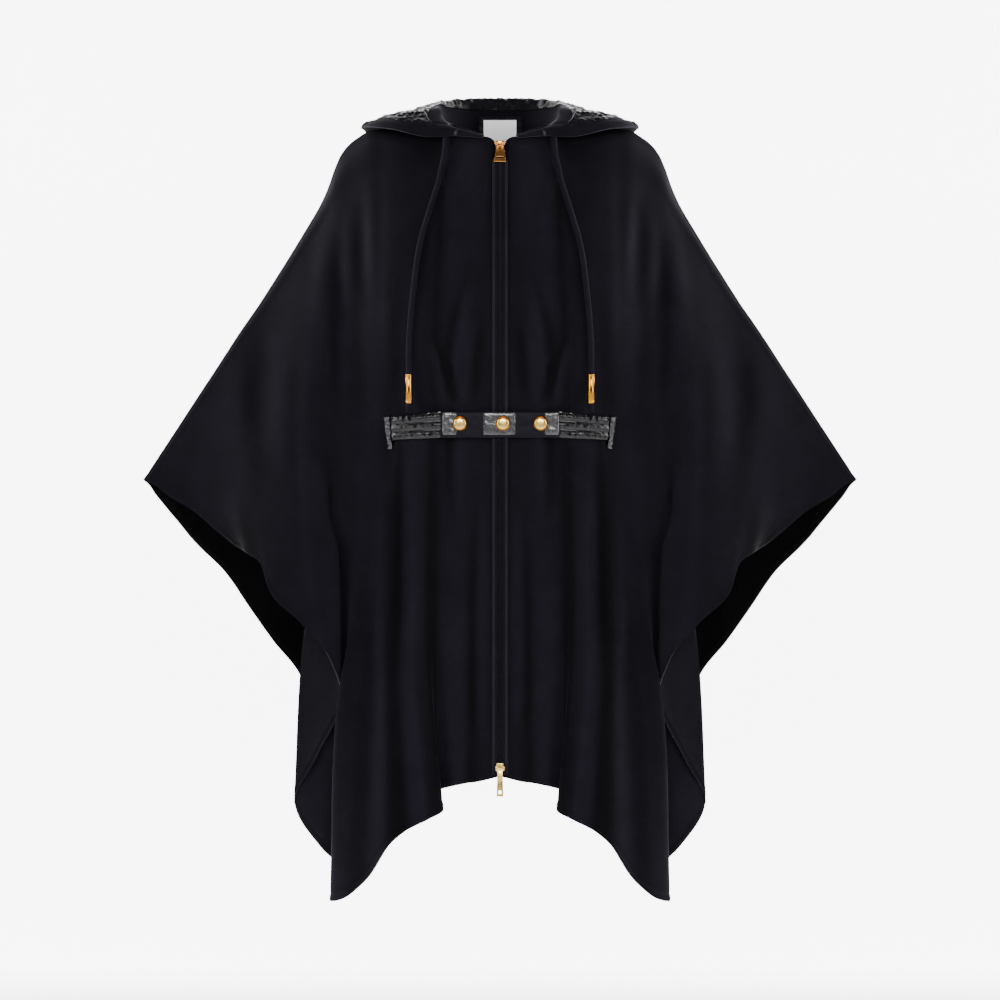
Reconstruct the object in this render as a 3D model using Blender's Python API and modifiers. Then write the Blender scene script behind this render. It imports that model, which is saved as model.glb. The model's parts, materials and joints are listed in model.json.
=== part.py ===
"""A hooded wool cape with a two-way zip, filled out as if worn. Metres, +Z up, the wearer faces -Y.

The origin lies between the shoulders, at the height where the cape rests on them. Every panel is a wall
between an outer and an inner grid of points. A grid is read from a table of fold lines: each row is one line
of the cloth from its seam down to its hem, and smooth curves join the rows across and the levels down."""

import math

import bmesh
import bpy
import numpy as np
from mathutils import Matrix, Vector
from mathutils.bvhtree import BVHTree

# Cloth
CLOTH = 0.0022
LINING = 0.0009
LINING_LIFT = 0.0006
GAP = 0.0003

# Neck
NECK_HALF_WIDTH = 0.0725
NECK_FRONT_DEPTH = 0.078
NECK_BACK_DEPTH = 0.070
BACK_NECK_DROP = 0.028

# Zip, from the neck down to the hem
ZIP_EDGE = 0.0018
WELT_WIDTH = 0.0080
WELT_THICK = 0.0017
WELT_TOP = -0.030
TAPE_WIDTH = 0.0125
TAPE_THICK = 0.0008
TAPE_BEHIND = 0.0008
ZIP_TOP = -0.022
ZIP_BOTTOM = -0.788

# Belt
BELT_HEIGHT = 0.0325
BELT_Z = -0.3590
BELT_HALF = 0.0738
BELT_THICK = 0.0022
BELT_DROP = 0.0050
SLIT_INNER = 0.1295
SLIT_OUTER = 0.1400
SLIT_TOP = -0.3445
SLIT_BOTTOM = -0.3900
SNAP_RADIUS = 0.0090
SNAP_PLACES = (("snap_left", -0.0500), ("snap_middle", 0.0036), ("snap_right", 0.0505))

# Cords
CORD_DIAMETER = 0.0072
TIP_DIAMETER = 0.0088
TIP_LENGTH = 0.0360
CORD_END_LENGTH = 0.0110
CORD_STANDOFF = CORD_DIAMETER / 2 + 0.0016

# How far down a fold line each level lies, from 0 at the seam to 1 at the hem
LEVELS = (0.0, 0.02, 0.06, 0.25, 0.46, 0.78, 1.0)
CROWN = 0.55

# Fold lines of one front, from the zip out to the side edge. x is the distance from the centre line, y is
# how far the cloth stands forward, z is up.
FRONT_COLUMNS = (
    "seam_x", "seam_z", "chest_x", "waist_x", "low_x", "hem_x", "hem_z",
    "top_y", "chest_y", "waist_y", "low_y", "hem_y",
)
FRONT_FOLDS = {
    "zip edge": (
        0.0018, -0.012, 0.0018, 0.0018, 0.0018, 0.0018, -0.796,
        0.092, 0.118, 0.106, 0.128, 0.137,
    ),
    "neck notch": (
        0.0125, -0.0012, 0.020, 0.021, 0.023, 0.025, -0.802,
        0.094, 0.119, 0.106, 0.128, 0.134,
    ),
    "centre swell": (
        0.040, 0.0010, 0.044, 0.042, 0.044, 0.046, -0.805,
        0.086, 0.122, 0.106, 0.129, 0.141,
    ),
    "centre valley": (
        0.060, 0.0095, 0.069, 0.071, 0.077, 0.080, -0.815,
        0.072, 0.118, 0.104, 0.123, 0.127,
    ),
    "belt ridge": (
        0.0735, 0.0200, 0.087, 0.092, 0.0925, 0.0712, -0.839,
        0.058, 0.121, 0.107, 0.140, 0.150,
    ),
    "wave one": (
        0.0940, 0.0180, 0.104, 0.106, 0.108, 0.0900, -0.849,
        0.056, 0.121, 0.105, 0.140, 0.163,
    ),
    "trough one": (
        0.1120, 0.0160, 0.121, 0.119, 0.123, 0.1120, -0.860,
        0.055, 0.116, 0.099, 0.130, 0.150,
    ),
    "wave two": (
        0.1300, 0.0140, 0.137, 0.131, 0.140, 0.1370, -0.880,
        0.053, 0.111, 0.098, 0.134, 0.165,
    ),
    "trough two": (
        0.1480, 0.0115, 0.151, 0.144, 0.160, 0.1670, -0.924,
        0.049, 0.102, 0.095, 0.126, 0.153,
    ),
    "wave three": (
        0.1660, 0.0080, 0.163, 0.155, 0.182, 0.1930, -0.946,
        0.044, 0.093, 0.092, 0.124, 0.144,
    ),
    "drop fold": (
        0.1800, -0.0010, 0.174, 0.165, 0.205, 0.2115, -0.9505,
        0.038, 0.084, 0.088, 0.115, 0.122,
    ),
    "drop valley": (
        0.1890, -0.0090, 0.185, 0.178, 0.191, 0.1790, -0.9275,
        0.033, 0.079, 0.083, 0.100, 0.086,
    ),
    "back layer": (
        0.1970, -0.0175, 0.195, 0.189, 0.216, 0.2225, -0.8860,
        0.030, 0.076, 0.082, 0.084, 0.067,
    ),
    "outer fold": (
        0.2040, -0.0300, 0.203, 0.199, 0.2465, 0.2557, -0.8310,
        0.028, 0.074, 0.082, 0.071, 0.054,
    ),
    "middle layer": (
        0.2095, -0.0430, 0.209, 0.206, 0.225, 0.2290, -0.7740,
        0.026, 0.072, 0.083, 0.084, 0.078,
    ),
    "front fold": (
        0.2125, -0.0580, 0.215, 0.214, 0.1985, 0.1965, -0.6990,
        0.024, 0.070, 0.0855, 0.099, 0.106,
    ),
    "front layer": (
        0.2200, -0.0775, 0.229, 0.232, 0.226, 0.2110, -0.6510,
        0.020, 0.062, 0.084, 0.100, 0.109,
    ),
    "wing root": (
        0.2460, -0.1200, 0.255, 0.256, 0.252, 0.2450, -0.6090,
        0.016, 0.051, 0.073, 0.094, 0.104,
    ),
    "wing crease": (
        0.2975, -0.2025, 0.297, 0.295, 0.290, 0.2860, -0.5675,
        0.012, 0.037, 0.057, 0.079, 0.090,
    ),
    "wing fall": (
        0.3275, -0.2460, 0.325, 0.320, 0.308, 0.2985, -0.5310,
        0.010, 0.031, 0.048, 0.067, 0.078,
    ),
    "wing middle": (
        0.3560, -0.2900, 0.348, 0.339, 0.325, 0.3140, -0.5200,
        0.009, 0.025, 0.039, 0.055, 0.065,
    ),
    "wing end": (
        0.4025, -0.3610, 0.385, 0.369, 0.341, 0.3210, -0.5150,
        0.007, 0.016, 0.025, 0.037, 0.050,
    ),
    "side edge": (
        0.4460, -0.4275, 0.414, 0.385, 0.354, 0.3310, -0.5090,
        0.005, 0.010, 0.016, 0.026, 0.037,
    ),
}

# Fold lines of one half of the back, from the centre out to the side edge. Here y is how far the cloth
# stands back.
BACK_COLUMNS = (
    "seam_x", "chest_x", "waist_x", "low_x", "hem_x", "hem_z",
    "top_y", "chest_y", "waist_y", "low_y", "hem_y",
)
BACK_FOLDS = {
    "centre": (0.0, 0.0, 0.0, 0.0, 0.0, -0.790, 0.085, 0.120, 0.119, 0.130, 0.136),
    "wave one": (0.032, 0.038, 0.042, 0.048, 0.052, -0.800, 0.082, 0.121, 0.123, 0.143, 0.159),
    "trough one": (0.058, 0.072, 0.080, 0.090, 0.096, -0.818, 0.071, 0.115, 0.114, 0.121, 0.123),
    "wave two": (0.088, 0.108, 0.118, 0.130, 0.139, -0.842, 0.060, 0.110, 0.115, 0.135, 0.155),
    "trough two": (0.118, 0.140, 0.150, 0.166, 0.174, -0.875, 0.057, 0.099, 0.103, 0.110, 0.109),
    "corner": (0.150, 0.168, 0.178, 0.196, 0.203, -0.893, 0.050, 0.089, 0.098, 0.117, 0.130),
    "side fall": (0.176, 0.190, 0.196, 0.208, 0.212, -0.830, 0.041, 0.080, 0.090, 0.103, 0.105),
    "side valley": (0.200, 0.208, 0.214, 0.224, 0.230, -0.745, 0.031, 0.069, 0.080, 0.087, 0.087),
    "side ridge": (0.216, 0.228, 0.234, 0.243, 0.2487, -0.6775, 0.022, 0.062, 0.078, 0.092, 0.098),
    "wing fold": (0.250, 0.262, 0.268, 0.278, 0.2850, -0.6290, 0.016, 0.049, 0.066, 0.078, 0.082),
    "wing root": (0.300, 0.303, 0.306, 0.310, 0.3125, -0.5900, 0.012, 0.036, 0.053, 0.068, 0.074),
    "wing middle": (0.355, 0.352, 0.350, 0.347, 0.3450, -0.5425, 0.009, 0.024, 0.037, 0.049, 0.055),
    "wing end": (0.405, 0.398, 0.391, 0.381, 0.3750, -0.5125, 0.007, 0.015, 0.022, 0.031, 0.036),
    "side edge": (0.446, 0.431, 0.419, 0.400, 0.3875, -0.4990, 0.005, 0.009, 0.014, 0.021, 0.026),
}

# Sections of one half of the hood as it lies back, from the centre seam round to its front corner. Each runs
# from the neck seam up the stand, over the crest, and through the pouch to the rim of the face opening.
HOOD_STATIONS = ("neck", "stand", "crest", "inner", "bottom", "outer", "rim")
HOOD_SECTIONS = {
    "centre seam": (
        (0.0, 0.070, -0.005), (0.0, 0.077, 0.024), (0.0, 0.094, 0.0475), (0.0, 0.118, -0.030),
        (0.0, 0.150, -0.215), (0.0, 0.184, -0.110), (0.0, 0.176, 0.020),
    ),
    "back": (
        (0.034, 0.0615, 0.001), (0.037, 0.070, 0.026), (0.043, 0.085, 0.0470), (0.054, 0.112, -0.020),
        (0.062, 0.147, -0.200), (0.078, 0.176, -0.105), (0.072, 0.168, 0.020),
    ),
    "back side": (
        (0.060, 0.0393, 0.0140), (0.065, 0.046, 0.031), (0.0735, 0.055, 0.0455), (0.098, 0.088, 0.010),
        (0.114, 0.128, -0.135), (0.140, 0.142, -0.070), (0.132, 0.134, 0.019),
    ),
    "side": (
        (0.0722, 0.0100, 0.0230), (0.0755, 0.012, 0.033), (0.080, 0.016, 0.0405), (0.110, 0.034, 0.031),
        (0.138, 0.066, -0.006), (0.158, 0.068, -0.003), (0.169, 0.062, 0.014),
    ),
    "shoulder": (
        (0.0725, -0.0040, 0.0230), (0.0750, -0.004, 0.032),
        (0.0790, -0.003, 0.0390), (0.110, 0.002, 0.0315),
        (0.136, 0.008, 0.0262), (0.158, 0.009, 0.0215), (0.171, 0.004, 0.0150),
    ),
    "shoulder front": (
        (0.0712, -0.0150, 0.0225), (0.0730, -0.018, 0.030),
        (0.0760, -0.021, 0.0355), (0.097, -0.024, 0.0330),
        (0.116, -0.028, 0.0265), (0.132, -0.035, 0.0190), (0.134, -0.041, 0.0105),
    ),
    "front": (
        (0.0660, -0.0320, 0.0195), (0.0685, -0.036, 0.0215),
        (0.0730, -0.041, 0.0225), (0.080, -0.046, 0.0200),
        (0.087, -0.050, 0.0165), (0.092, -0.054, 0.0090), (0.091, -0.056, 0.0005),
    ),
    "front corner": (
        (0.0540, -0.0520, 0.0140), (0.0550, -0.0545, 0.0110),
        (0.0560, -0.0575, 0.0115), (0.0572, -0.0600, 0.0100),
        (0.0582, -0.0620, 0.0072), (0.0590, -0.0635, 0.0050), (0.0595, -0.0645, 0.0015),
    ),
}

# The right drawcord's route, from where it leaves the hood rim down to its metal tube. Where the cord lies on
# the front, its y follows the cloth.
CORD_ROUTE = (
    (0.0675, -0.0632, -0.0016), (0.0677, -0.0660, -0.0080), (0.0688, -0.0700, -0.0200),
    (0.0720, 0, -0.0380), (0.0757, 0, -0.0540), (0.0830, 0, -0.0780),
    (0.0893, 0, -0.0980), (0.0975, 0, -0.1260), (0.1025, 0, -0.1500),
    (0.1070, 0, -0.1860), (0.1100, 0, -0.2150), (0.1122, 0, -0.2430),
    (0.1133, 0, -0.2700), (0.1138, 0, -0.2960),
)

MATERIALS = {
    "wool": ((0.0085, 0.0085, 0.0115), 0.92, 0.0),
    "nylon": ((0.0060, 0.0060, 0.0070), 0.30, 0.0),
    "zip_tape": ((0.0060, 0.0060, 0.0080), 0.85, 0.0),
    "brass": ((0.74, 0.46, 0.17), 0.26, 1.0),
    "copper_brass": ((0.72, 0.36, 0.15), 0.30, 1.0),
    "label_white": ((0.82, 0.82, 0.84), 0.70, 0.0),
    "cord": ((0.0080, 0.0080, 0.0105), 0.90, 0.0),
}


def smooth(knots, values, at):
    """A smooth curve through the values at the knots, read at the places in at."""
    knots = np.asarray(knots, float)
    values = np.asarray(values, float)
    at = np.asarray(at, float)
    step = np.diff(knots)
    shape = (-1,) + (1,) * (values.ndim - 1)
    rise = np.diff(values, axis=0) / step.reshape(shape)
    slope = np.empty_like(values)
    slope[0] = rise[0]
    slope[-1] = rise[-1]
    before = step[:-1].reshape(shape)
    after = step[1:].reshape(shape)
    slope[1:-1] = (after * rise[:-1] + before * rise[1:]) / (before + after)
    index = np.clip(np.searchsorted(knots, at, side="right") - 1, 0, len(step) - 1)
    width = step[index].reshape(shape)
    t = ((at - knots[index]) / step[index]).reshape(shape)
    return (
        values[index] * (2 * t**3 - 3 * t**2 + 1)
        + slope[index] * width * (t**3 - 2 * t**2 + t)
        + values[index + 1] * (3 * t**2 - 2 * t**3)
        + slope[index + 1] * width * (t**3 - t**2)
    )


def neck_y(x, depth):
    """How far the neckline stands from the shoulder plane at a distance x from the centre."""
    inside = np.clip(1 - (np.asarray(x, float) / NECK_HALF_WIDTH) ** 2, 0, 1)
    return depth * np.sqrt(inside)


def shoulder_z(x):
    """Height of the shoulder and arm seam at a distance x from the centre."""
    rows = [row for row in FRONT_FOLDS.values() if row[0] > NECK_HALF_WIDTH]
    return np.interp(x, [row[0] for row in rows], [row[1] for row in rows])


def back_seam_z(x):
    """Height of the back's top edge: the neckline, then the shoulder seam."""
    neck = shoulder_z(NECK_HALF_WIDTH) - BACK_NECK_DROP * np.clip(1 - (x / NECK_HALF_WIDTH) ** 2, 0, 1)
    return np.where(x < NECK_HALF_WIDTH, neck, shoulder_z(x))


def fold_lines(rows, depth, side):
    """Points of each fold line at each level. side is -1 for the front and 1 for the back."""
    lines = []
    for row in rows:
        seam_y = float(neck_y(row["seam_x"], depth))
        top_x = row["seam_x"] + (row["chest_x"] - row["seam_x"]) * 0.35
        crown_x = row["seam_x"] + (row["chest_x"] - row["seam_x"]) * 0.12
        crown_y = seam_y + (row["top_y"] - seam_y) * CROWN
        xs = (row["seam_x"], crown_x, top_x, row["chest_x"], row["waist_x"], row["low_x"], row["hem_x"])
        ys = (seam_y, crown_y, row["top_y"], row["chest_y"], row["waist_y"], row["low_y"], row["hem_y"])
        zs = [row["seam_z"] + (row["hem_z"] - row["seam_z"]) * level for level in LEVELS]
        lines.append([(x, side * y, z) for x, y, z in zip(xs, ys, zs)])
    return np.array(lines)


def front_lines():
    rows = [dict(zip(FRONT_COLUMNS, row)) for row in FRONT_FOLDS.values()]
    return fold_lines(rows, NECK_FRONT_DEPTH, -1)


def back_lines():
    rows = []
    for row in BACK_FOLDS.values():
        row = dict(zip(BACK_COLUMNS, row))
        row["seam_z"] = float(back_seam_z(row["seam_x"]))
        rows.append(row)
    return fold_lines(rows, NECK_BACK_DEPTH, 1)


def across_knots(lines):
    """Where each fold line lies across the cloth: the mean of its distances along the seam and the hem."""
    seam = np.linalg.norm(np.diff(lines[:, 0], axis=0), axis=1)
    hem = np.linalg.norm(np.diff(lines[:, -1], axis=0), axis=1)
    return np.concatenate([[0.0], np.cumsum((seam + hem) / 2)])


def cloth_grid(lines, across, down):
    """The outer face of a panel: a grid of points at the places across and the levels down."""
    rows = smooth(across_knots(lines), lines, across)
    grid = smooth(LEVELS, np.swapaxes(rows, 0, 1), down)
    return np.swapaxes(grid, 0, 1)


def grid_normals(grid, toward):
    """Unit normals of a grid of points, turned to the side that toward points to."""
    normal = np.cross(np.gradient(grid, axis=0), np.gradient(grid, axis=1))
    normal /= np.maximum(np.linalg.norm(normal, axis=2, keepdims=True), 1e-12)
    if np.sum(normal * toward) < 0:
        normal = -normal
    return normal


def seam_plane_normals(grid, normal):
    """Along the shoulder and arm seam the wall's edge lies in the plane between front and back."""
    on_seam = grid[:, 0, 0] > NECK_HALF_WIDTH
    normal[on_seam, 0, 1] = 0
    normal[:, 0] /= np.linalg.norm(normal[:, 0], axis=1, keepdims=True)
    return normal


def material(name):
    made = bpy.data.materials.get(name)
    if made:
        return made
    colour, roughness, metallic = MATERIALS[name]
    made = bpy.data.materials.new(name)
    made.use_nodes = True
    shader = made.node_tree.nodes["Principled BSDF"]
    shader.inputs["Base Color"].default_value = (*colour, 1.0)
    shader.inputs["Roughness"].default_value = roughness
    shader.inputs["Metallic"].default_value = metallic
    made.diffuse_color = (*colour, 1.0)
    return made


def keep(obj, name, material_name):
    """Names an object, gives it its material and puts it in the cape's collection."""
    obj.name = name
    obj.data.name = name
    obj.data.materials.clear()
    obj.data.materials.append(material(material_name))
    for collection in list(obj.users_collection):
        collection.objects.unlink(obj)
    bpy.data.collections["cape"].objects.link(obj)
    return obj


def wall(name, outer, inner, material_name, left_out=()):
    """A closed wall between two grids of points, each cell split the same way so that layers never meet.
    Cells in left_out stay open, and get side walls."""
    columns, rows = outer.shape[:2]
    mesh = bmesh.new()
    made = [[[mesh.verts.new(point) for point in line] for line in side] for side in (outer, inner)]
    edges = {}
    for i in range(columns - 1):
        for j in range(rows - 1):
            if (i, j) in left_out:
                continue
            corners = ((i, j), (i + 1, j), (i + 1, j + 1), (i, j + 1))
            for half in (corners[:3], corners[2:] + corners[:1]):
                mesh.faces.new([made[0][a][b] for a, b in half])
                mesh.faces.new([made[1][a][b] for a, b in reversed(half)])
            for k in range(4):
                edge = (corners[k], corners[(k + 1) % 4])
                if edge[::-1] in edges:
                    del edges[edge[::-1]]
                else:
                    edges[edge] = True
    for start, end in edges:
        front = [made[0][i][j] for i, j in (end, start)]
        behind = [made[1][i][j] for i, j in (start, end)]
        mesh.faces.new(front + behind)
    loose = [vert for vert in mesh.verts if not vert.link_faces]
    bmesh.ops.delete(mesh, geom=loose, context="VERTS")
    bmesh.ops.recalc_face_normals(mesh, faces=mesh.faces)
    data = bpy.data.meshes.new(name)
    mesh.to_mesh(data)
    mesh.free()
    data.shade_smooth()
    data.set_sharp_from_angle(angle=math.radians(50))
    obj = bpy.data.objects.new(name, data)
    bpy.context.scene.collection.objects.link(obj)
    return keep(obj, name, material_name)


def mirrored(grid, side):
    """The grid itself for side 1, and its mirror image across the centre plane for side -1."""
    return grid * np.array([side, 1.0, 1.0])


FRONT_ACROSS_STEPS = 40
SLIT_APART = 0.006
SLIT_LEVEL_APART = 0.025
FRONT_DOWN = [0.0, 0.02, 0.06, 0.12, 0.20, 0.29, 0.46, 0.56, 0.67, 0.77, 0.85, 0.93, 1.0]


def front_across(x, z):
    """Where across a front the cloth passes the point x, z: found on a fine row of fold lines."""
    lines = front_lines()
    knots = across_knots(lines)
    fine = np.linspace(0, knots[-1], 1200)
    rows = smooth(knots, lines, fine)
    level = (rows[:, 0, 2] - z) / (rows[:, 0, 2] - rows[:, -1, 2])
    here = np.array([smooth(LEVELS, rows[i], [level[i]])[0, 0] for i in range(400)])
    place = int(np.argmax(here > x))
    return fine[place], level[place]


def apart_from(places, kept, least):
    """The kept places, and those of the others that lie at least so far from them."""
    return sorted([place for place in places if min(abs(place - one) for one in kept) > least] + list(kept))


def front_surface():
    """Outer and inner grids of one front, with the slit's cell, which stays open."""
    knots = across_knots(front_lines())
    slit_middle = (SLIT_INNER + SLIT_OUTER) / 2
    level_top = front_across(slit_middle, SLIT_TOP)[1]
    level_low = front_across(slit_middle, SLIT_BOTTOM)[1]
    slit_in = front_across(SLIT_INNER, BELT_Z)[0]
    slit_out = front_across(SLIT_OUTER, BELT_Z)[0]
    even = np.linspace(0, knots[-1], FRONT_ACROSS_STEPS)
    across = apart_from(even, (slit_in, slit_out), SLIT_APART)
    down = apart_from(FRONT_DOWN, (level_top, level_low), SLIT_LEVEL_APART)
    outer = cloth_grid(front_lines(), across, down)
    normal = seam_plane_normals(outer, grid_normals(outer, (0, -1, 0)))
    outer[:, :, 1] = np.minimum(outer[:, :, 1], -GAP / 2)
    inner = outer - normal * CLOTH
    inner[:, :, 1] = np.minimum(inner[:, :, 1], -GAP / 2)
    left_out = [(i, j) for i in range(len(across) - 1) for j in range(len(down) - 1)
                if slit_in <= across[i] < slit_out and level_top <= down[j] < level_low]
    return outer, inner, left_out


def make_fronts():
    outer, inner, left_out = front_surface()
    for name, side in (("front_left", -1), ("front_right", 1)):
        wall(name, mirrored(outer, side), mirrored(inner, side), "wool", left_out)


BACK_ACROSS_STEPS = 24
BACK_DOWN = [0.0, 0.02, 0.06, 0.13, 0.24, 0.36, 0.50, 0.64, 0.77, 0.89, 1.0]


def back_surface():
    """Outer and inner grids of the whole back, both halves in one piece."""
    lines = back_lines()
    half = cloth_grid(lines, np.linspace(0, across_knots(lines)[-1], BACK_ACROSS_STEPS), BACK_DOWN)
    outer = np.concatenate([mirrored(half[:0:-1], -1), half])
    normal = grid_normals(outer, (0, 1, 0))
    on_seam = np.abs(outer[:, 0, 0]) > NECK_HALF_WIDTH
    normal[on_seam, 0, 1] = 0
    normal[:, 0] /= np.linalg.norm(normal[:, 0], axis=1, keepdims=True)
    outer[:, :, 1] = np.maximum(outer[:, :, 1], GAP / 2)
    inner = outer - normal * CLOTH
    inner[:, :, 1] = np.maximum(inner[:, :, 1], GAP / 2)
    return outer, inner


def make_back():
    outer, inner = back_surface()
    wall("back", outer, inner, "wool")


def tree_of(grids):
    """A search tree over the faces of some grids of points."""
    points, faces = [], []
    for grid in grids:
        columns, rows = grid.shape[:2]
        first = len(points)
        points += [tuple(point) for point in grid.reshape(-1, 3)]
        for i in range(columns - 1):
            for j in range(rows - 1):
                here = first + i * rows + j
                faces.append((here, here + rows, here + rows + 1, here + 1))
    return BVHTree.FromPolygons(points, faces)


def clear_of(tree, point, gap, centre=Vector((0.0, 0.0, -0.25))):
    """The point, moved out until it stands off the surface in the tree by the gap."""
    point = Vector(point)
    for _ in range(4):
        place, normal, _, _ = tree.find_nearest(point)
        if normal.dot(place - centre) < 0:
            normal = -normal
        height = (point - place).dot(normal)
        if height < gap:
            point = point + normal * (gap - height)
    return point


HOOD_ROUND_STEPS = 19
HOOD_PROFILE = [0.0, 0.10, 0.20, 0.265, 0.33, 0.42, 0.52, 0.60, 0.67, 0.75, 0.85, 0.93, 1.0]
HOOD_CLEARANCE = 0.004
NECK_SEAM = 0.0005
NECK_REACH = 0.0015
LINING_START = 2
LINING_END = 10


def neck_height(panel, x):
    """Height of a panel's neck edge round a distance x from the centre, on the higher of its two faces."""
    near = x + np.array([-NECK_REACH, 0, NECK_REACH])
    return max(np.interp(near, face[:, 0, 0], face[:, 0, 2]).max() for face in panel[:2])


def hood_grid():
    """The inner face of one half of the hood, which lies upward, from the centre seam to the front."""
    sections = np.array(list(HOOD_SECTIONS.values()))
    around = np.concatenate([[0.0], np.cumsum(np.linalg.norm(np.diff(sections[:, -1], axis=0), axis=1))])
    rows = smooth(around, sections, np.linspace(0, around[-1], HOOD_ROUND_STEPS))
    stations = np.linspace(0, 1, len(HOOD_STATIONS))
    grid = np.swapaxes(smooth(stations, np.swapaxes(rows, 0, 1), HOOD_PROFILE), 0, 1)
    grid[:, :, 0] = np.maximum(grid[:, :, 0], GAP / 2)
    front, back = front_surface(), back_surface()
    for point in grid[:, 0]:
        point[2] = neck_height(front if point[1] < 0 else back, point[0]) + NECK_SEAM
    cape = tree_of([front[0], back[0]])
    for i in range(grid.shape[0]):
        for j in range(1, grid.shape[1]):
            grid[i, j] = clear_of(cape, grid[i, j], HOOD_CLEARANCE)
    return grid


def hood_normals(grid):
    """Normals of the hood's upper, lined face."""
    normal = np.cross(np.gradient(grid, axis=0), np.gradient(grid, axis=1))
    normal /= np.maximum(np.linalg.norm(normal, axis=2, keepdims=True), 1e-12)
    crest = normal[:, 3]
    if crest[:, 2].sum() < 0:
        normal = -normal
    normal[0, :, 0] = 0
    normal[:, 0, 2] = 0
    return normal / np.linalg.norm(normal, axis=2, keepdims=True)


def make_hood():
    grid = hood_grid()
    normal = hood_normals(grid)
    shell_outer = grid - normal * CLOTH
    start, end = LINING_START, LINING_END + 1
    lining_low = (grid + normal * LINING_LIFT)[:-2, start:end]
    lining_top = (grid + normal * (LINING_LIFT + LINING))[:-2, start:end]
    for name, side in (("left", -1), ("right", 1)):
        wall("hood_" + name, mirrored(grid, side), mirrored(shell_outer, side), "wool")
        wall("hood_lining_" + name, mirrored(lining_top, side), mirrored(lining_low, side), "nylon")


def front_y(tree, x, z):
    """Where a surface lies, seen from the front at x, z. Past the zip's edge, the nearest cloth counts."""
    for step in range(12):
        hit = tree.ray_cast(Vector((abs(x) + step * 0.0004, -1, z)), Vector((0, 1, 0)))[0]
        if hit is not None:
            return hit.y
    return front_y(tree, x, z - 0.002 if z > -0.4 else z + 0.002)


def lay_on(tree, xs, zs, offset, thick):
    """Outer and inner grids of a strip that lies on a surface seen from the front, at the places xs, zs."""
    found = np.array([[(x, front_y(tree, x, z), z) for z in zs] for x in xs])
    return found - np.array([0, offset + thick, 0]), found - np.array([0, offset, 0])


def heights_between(rows, top, bottom):
    """The heights of a panel's own rows between two heights, with both ends."""
    between = [z for z in rows if bottom + 0.004 < z < top - 0.004]
    return [top, *between, bottom]


def make_zip(outer_tree, inner_tree, rows):
    """A tape behind each front's edge, and a narrow welt of cloth on it in front."""
    welt_rows = heights_between(rows, WELT_TOP, ZIP_BOTTOM - 0.006)
    welt_xs = np.linspace(ZIP_EDGE, ZIP_EDGE + WELT_WIDTH, 3)
    welt = lay_on(outer_tree, welt_xs, welt_rows, GAP * 2, WELT_THICK)
    tape_rows = heights_between(rows, ZIP_TOP, ZIP_BOTTOM)
    behind = -(TAPE_THICK + TAPE_BEHIND)
    tape = lay_on(inner_tree, (GAP, TAPE_WIDTH / 2, TAPE_WIDTH), tape_rows, behind, TAPE_THICK)
    for name, side in (("left", -1), ("right", 1)):
        wall("zip_welt_" + name, mirrored(welt[0], side), mirrored(welt[1], side), "wool")
        wall("zip_tape_" + name, mirrored(tape[0], side), mirrored(tape[1], side), "zip_tape")


def box_mesh(size, place, bevel):
    """A box as a bmesh, with its edges rounded."""
    mesh = bmesh.new()
    bmesh.ops.create_cube(mesh, size=1.0, matrix=Matrix.Translation(place) @ Matrix.Diagonal((*size, 1.0)))
    if bevel:
        bmesh.ops.bevel(mesh, geom=list(mesh.edges), offset=bevel, segments=2, affect="EDGES", profile=0.5)
    return mesh


def object_from(mesh, name, material_name):
    bmesh.ops.recalc_face_normals(mesh, faces=mesh.faces)
    data = bpy.data.meshes.new(name)
    mesh.to_mesh(data)
    mesh.free()
    data.shade_smooth()
    data.set_sharp_from_angle(angle=math.radians(40))
    obj = bpy.data.objects.new(name, data)
    bpy.context.scene.collection.objects.link(obj)
    return keep(obj, name, material_name)


def cut(obj, cutter):
    """Takes the cutter's shape out of an object and puts the cutter away, hidden."""
    for collection in list(cutter.users_collection):
        collection.objects.unlink(cutter)
    bpy.data.collections["cutters"].objects.link(cutter)
    cutter.hide_render = True
    cutter.display_type = "WIRE"
    modifier = obj.modifiers.new("cut", "BOOLEAN")
    modifier.operation = "DIFFERENCE"
    modifier.solver = "EXACT"
    modifier.object = cutter


def belt_edges(x):
    """Heights of the belt's lower and upper edge at a distance x from the centre: its ends droop."""
    share = min(max(0.0, (abs(x) - BELT_HALF) / (SLIT_OUTER - BELT_HALF)), BELT_END_SHARE)
    middle = BELT_Z - BELT_DROP * share
    half = BELT_HEIGHT / 2 * (1 - BELT_NARROWING * share)
    return middle - half, middle + half


BELT_END_SHARE = 1.2
BELT_NARROWING = 0.14
BELT_LIFT = 0.0026
BELT_ROUNDING = 0.0010
BELT_STEPS = 13
RIB_ROWS = (0.0, 0.13, 0.27, 0.36, 0.50, 0.64, 0.73, 0.87, 1.0)
RIB_HEIGHTS = (0.0, 0.0020, 0.0002, 0.0004, 0.0022, 0.0004, 0.0002, 0.0020, 0.0)
ELASTIC_THICK = 0.0016
GATHER_STEPS = 24
GATHER_DEPTH = 0.0007
GATHER_FADE = 2.5

# Where the elastic bends as it nears the slit and goes in: the distance from the slit's inner end, and how
# far behind the cloth's face
ELASTIC_TURN = ((-0.004, 0.0), (0.0004, 0.0003), (0.0045, 0.0058), (0.0065, 0.0125))

# The way the belt's plain length takes inside the cape, on the right side, from the slit to the centre back
INNER_BELT_ROUTE = (
    (0.150, -0.058), (0.160, -0.020), (0.156, 0.025), (0.132, 0.068),
    (0.090, 0.094), (0.045, 0.104), (0.0, 0.107),
)
INNER_BELT_THICK = 0.0020
INNER_BELT_STEPS = 41


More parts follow.
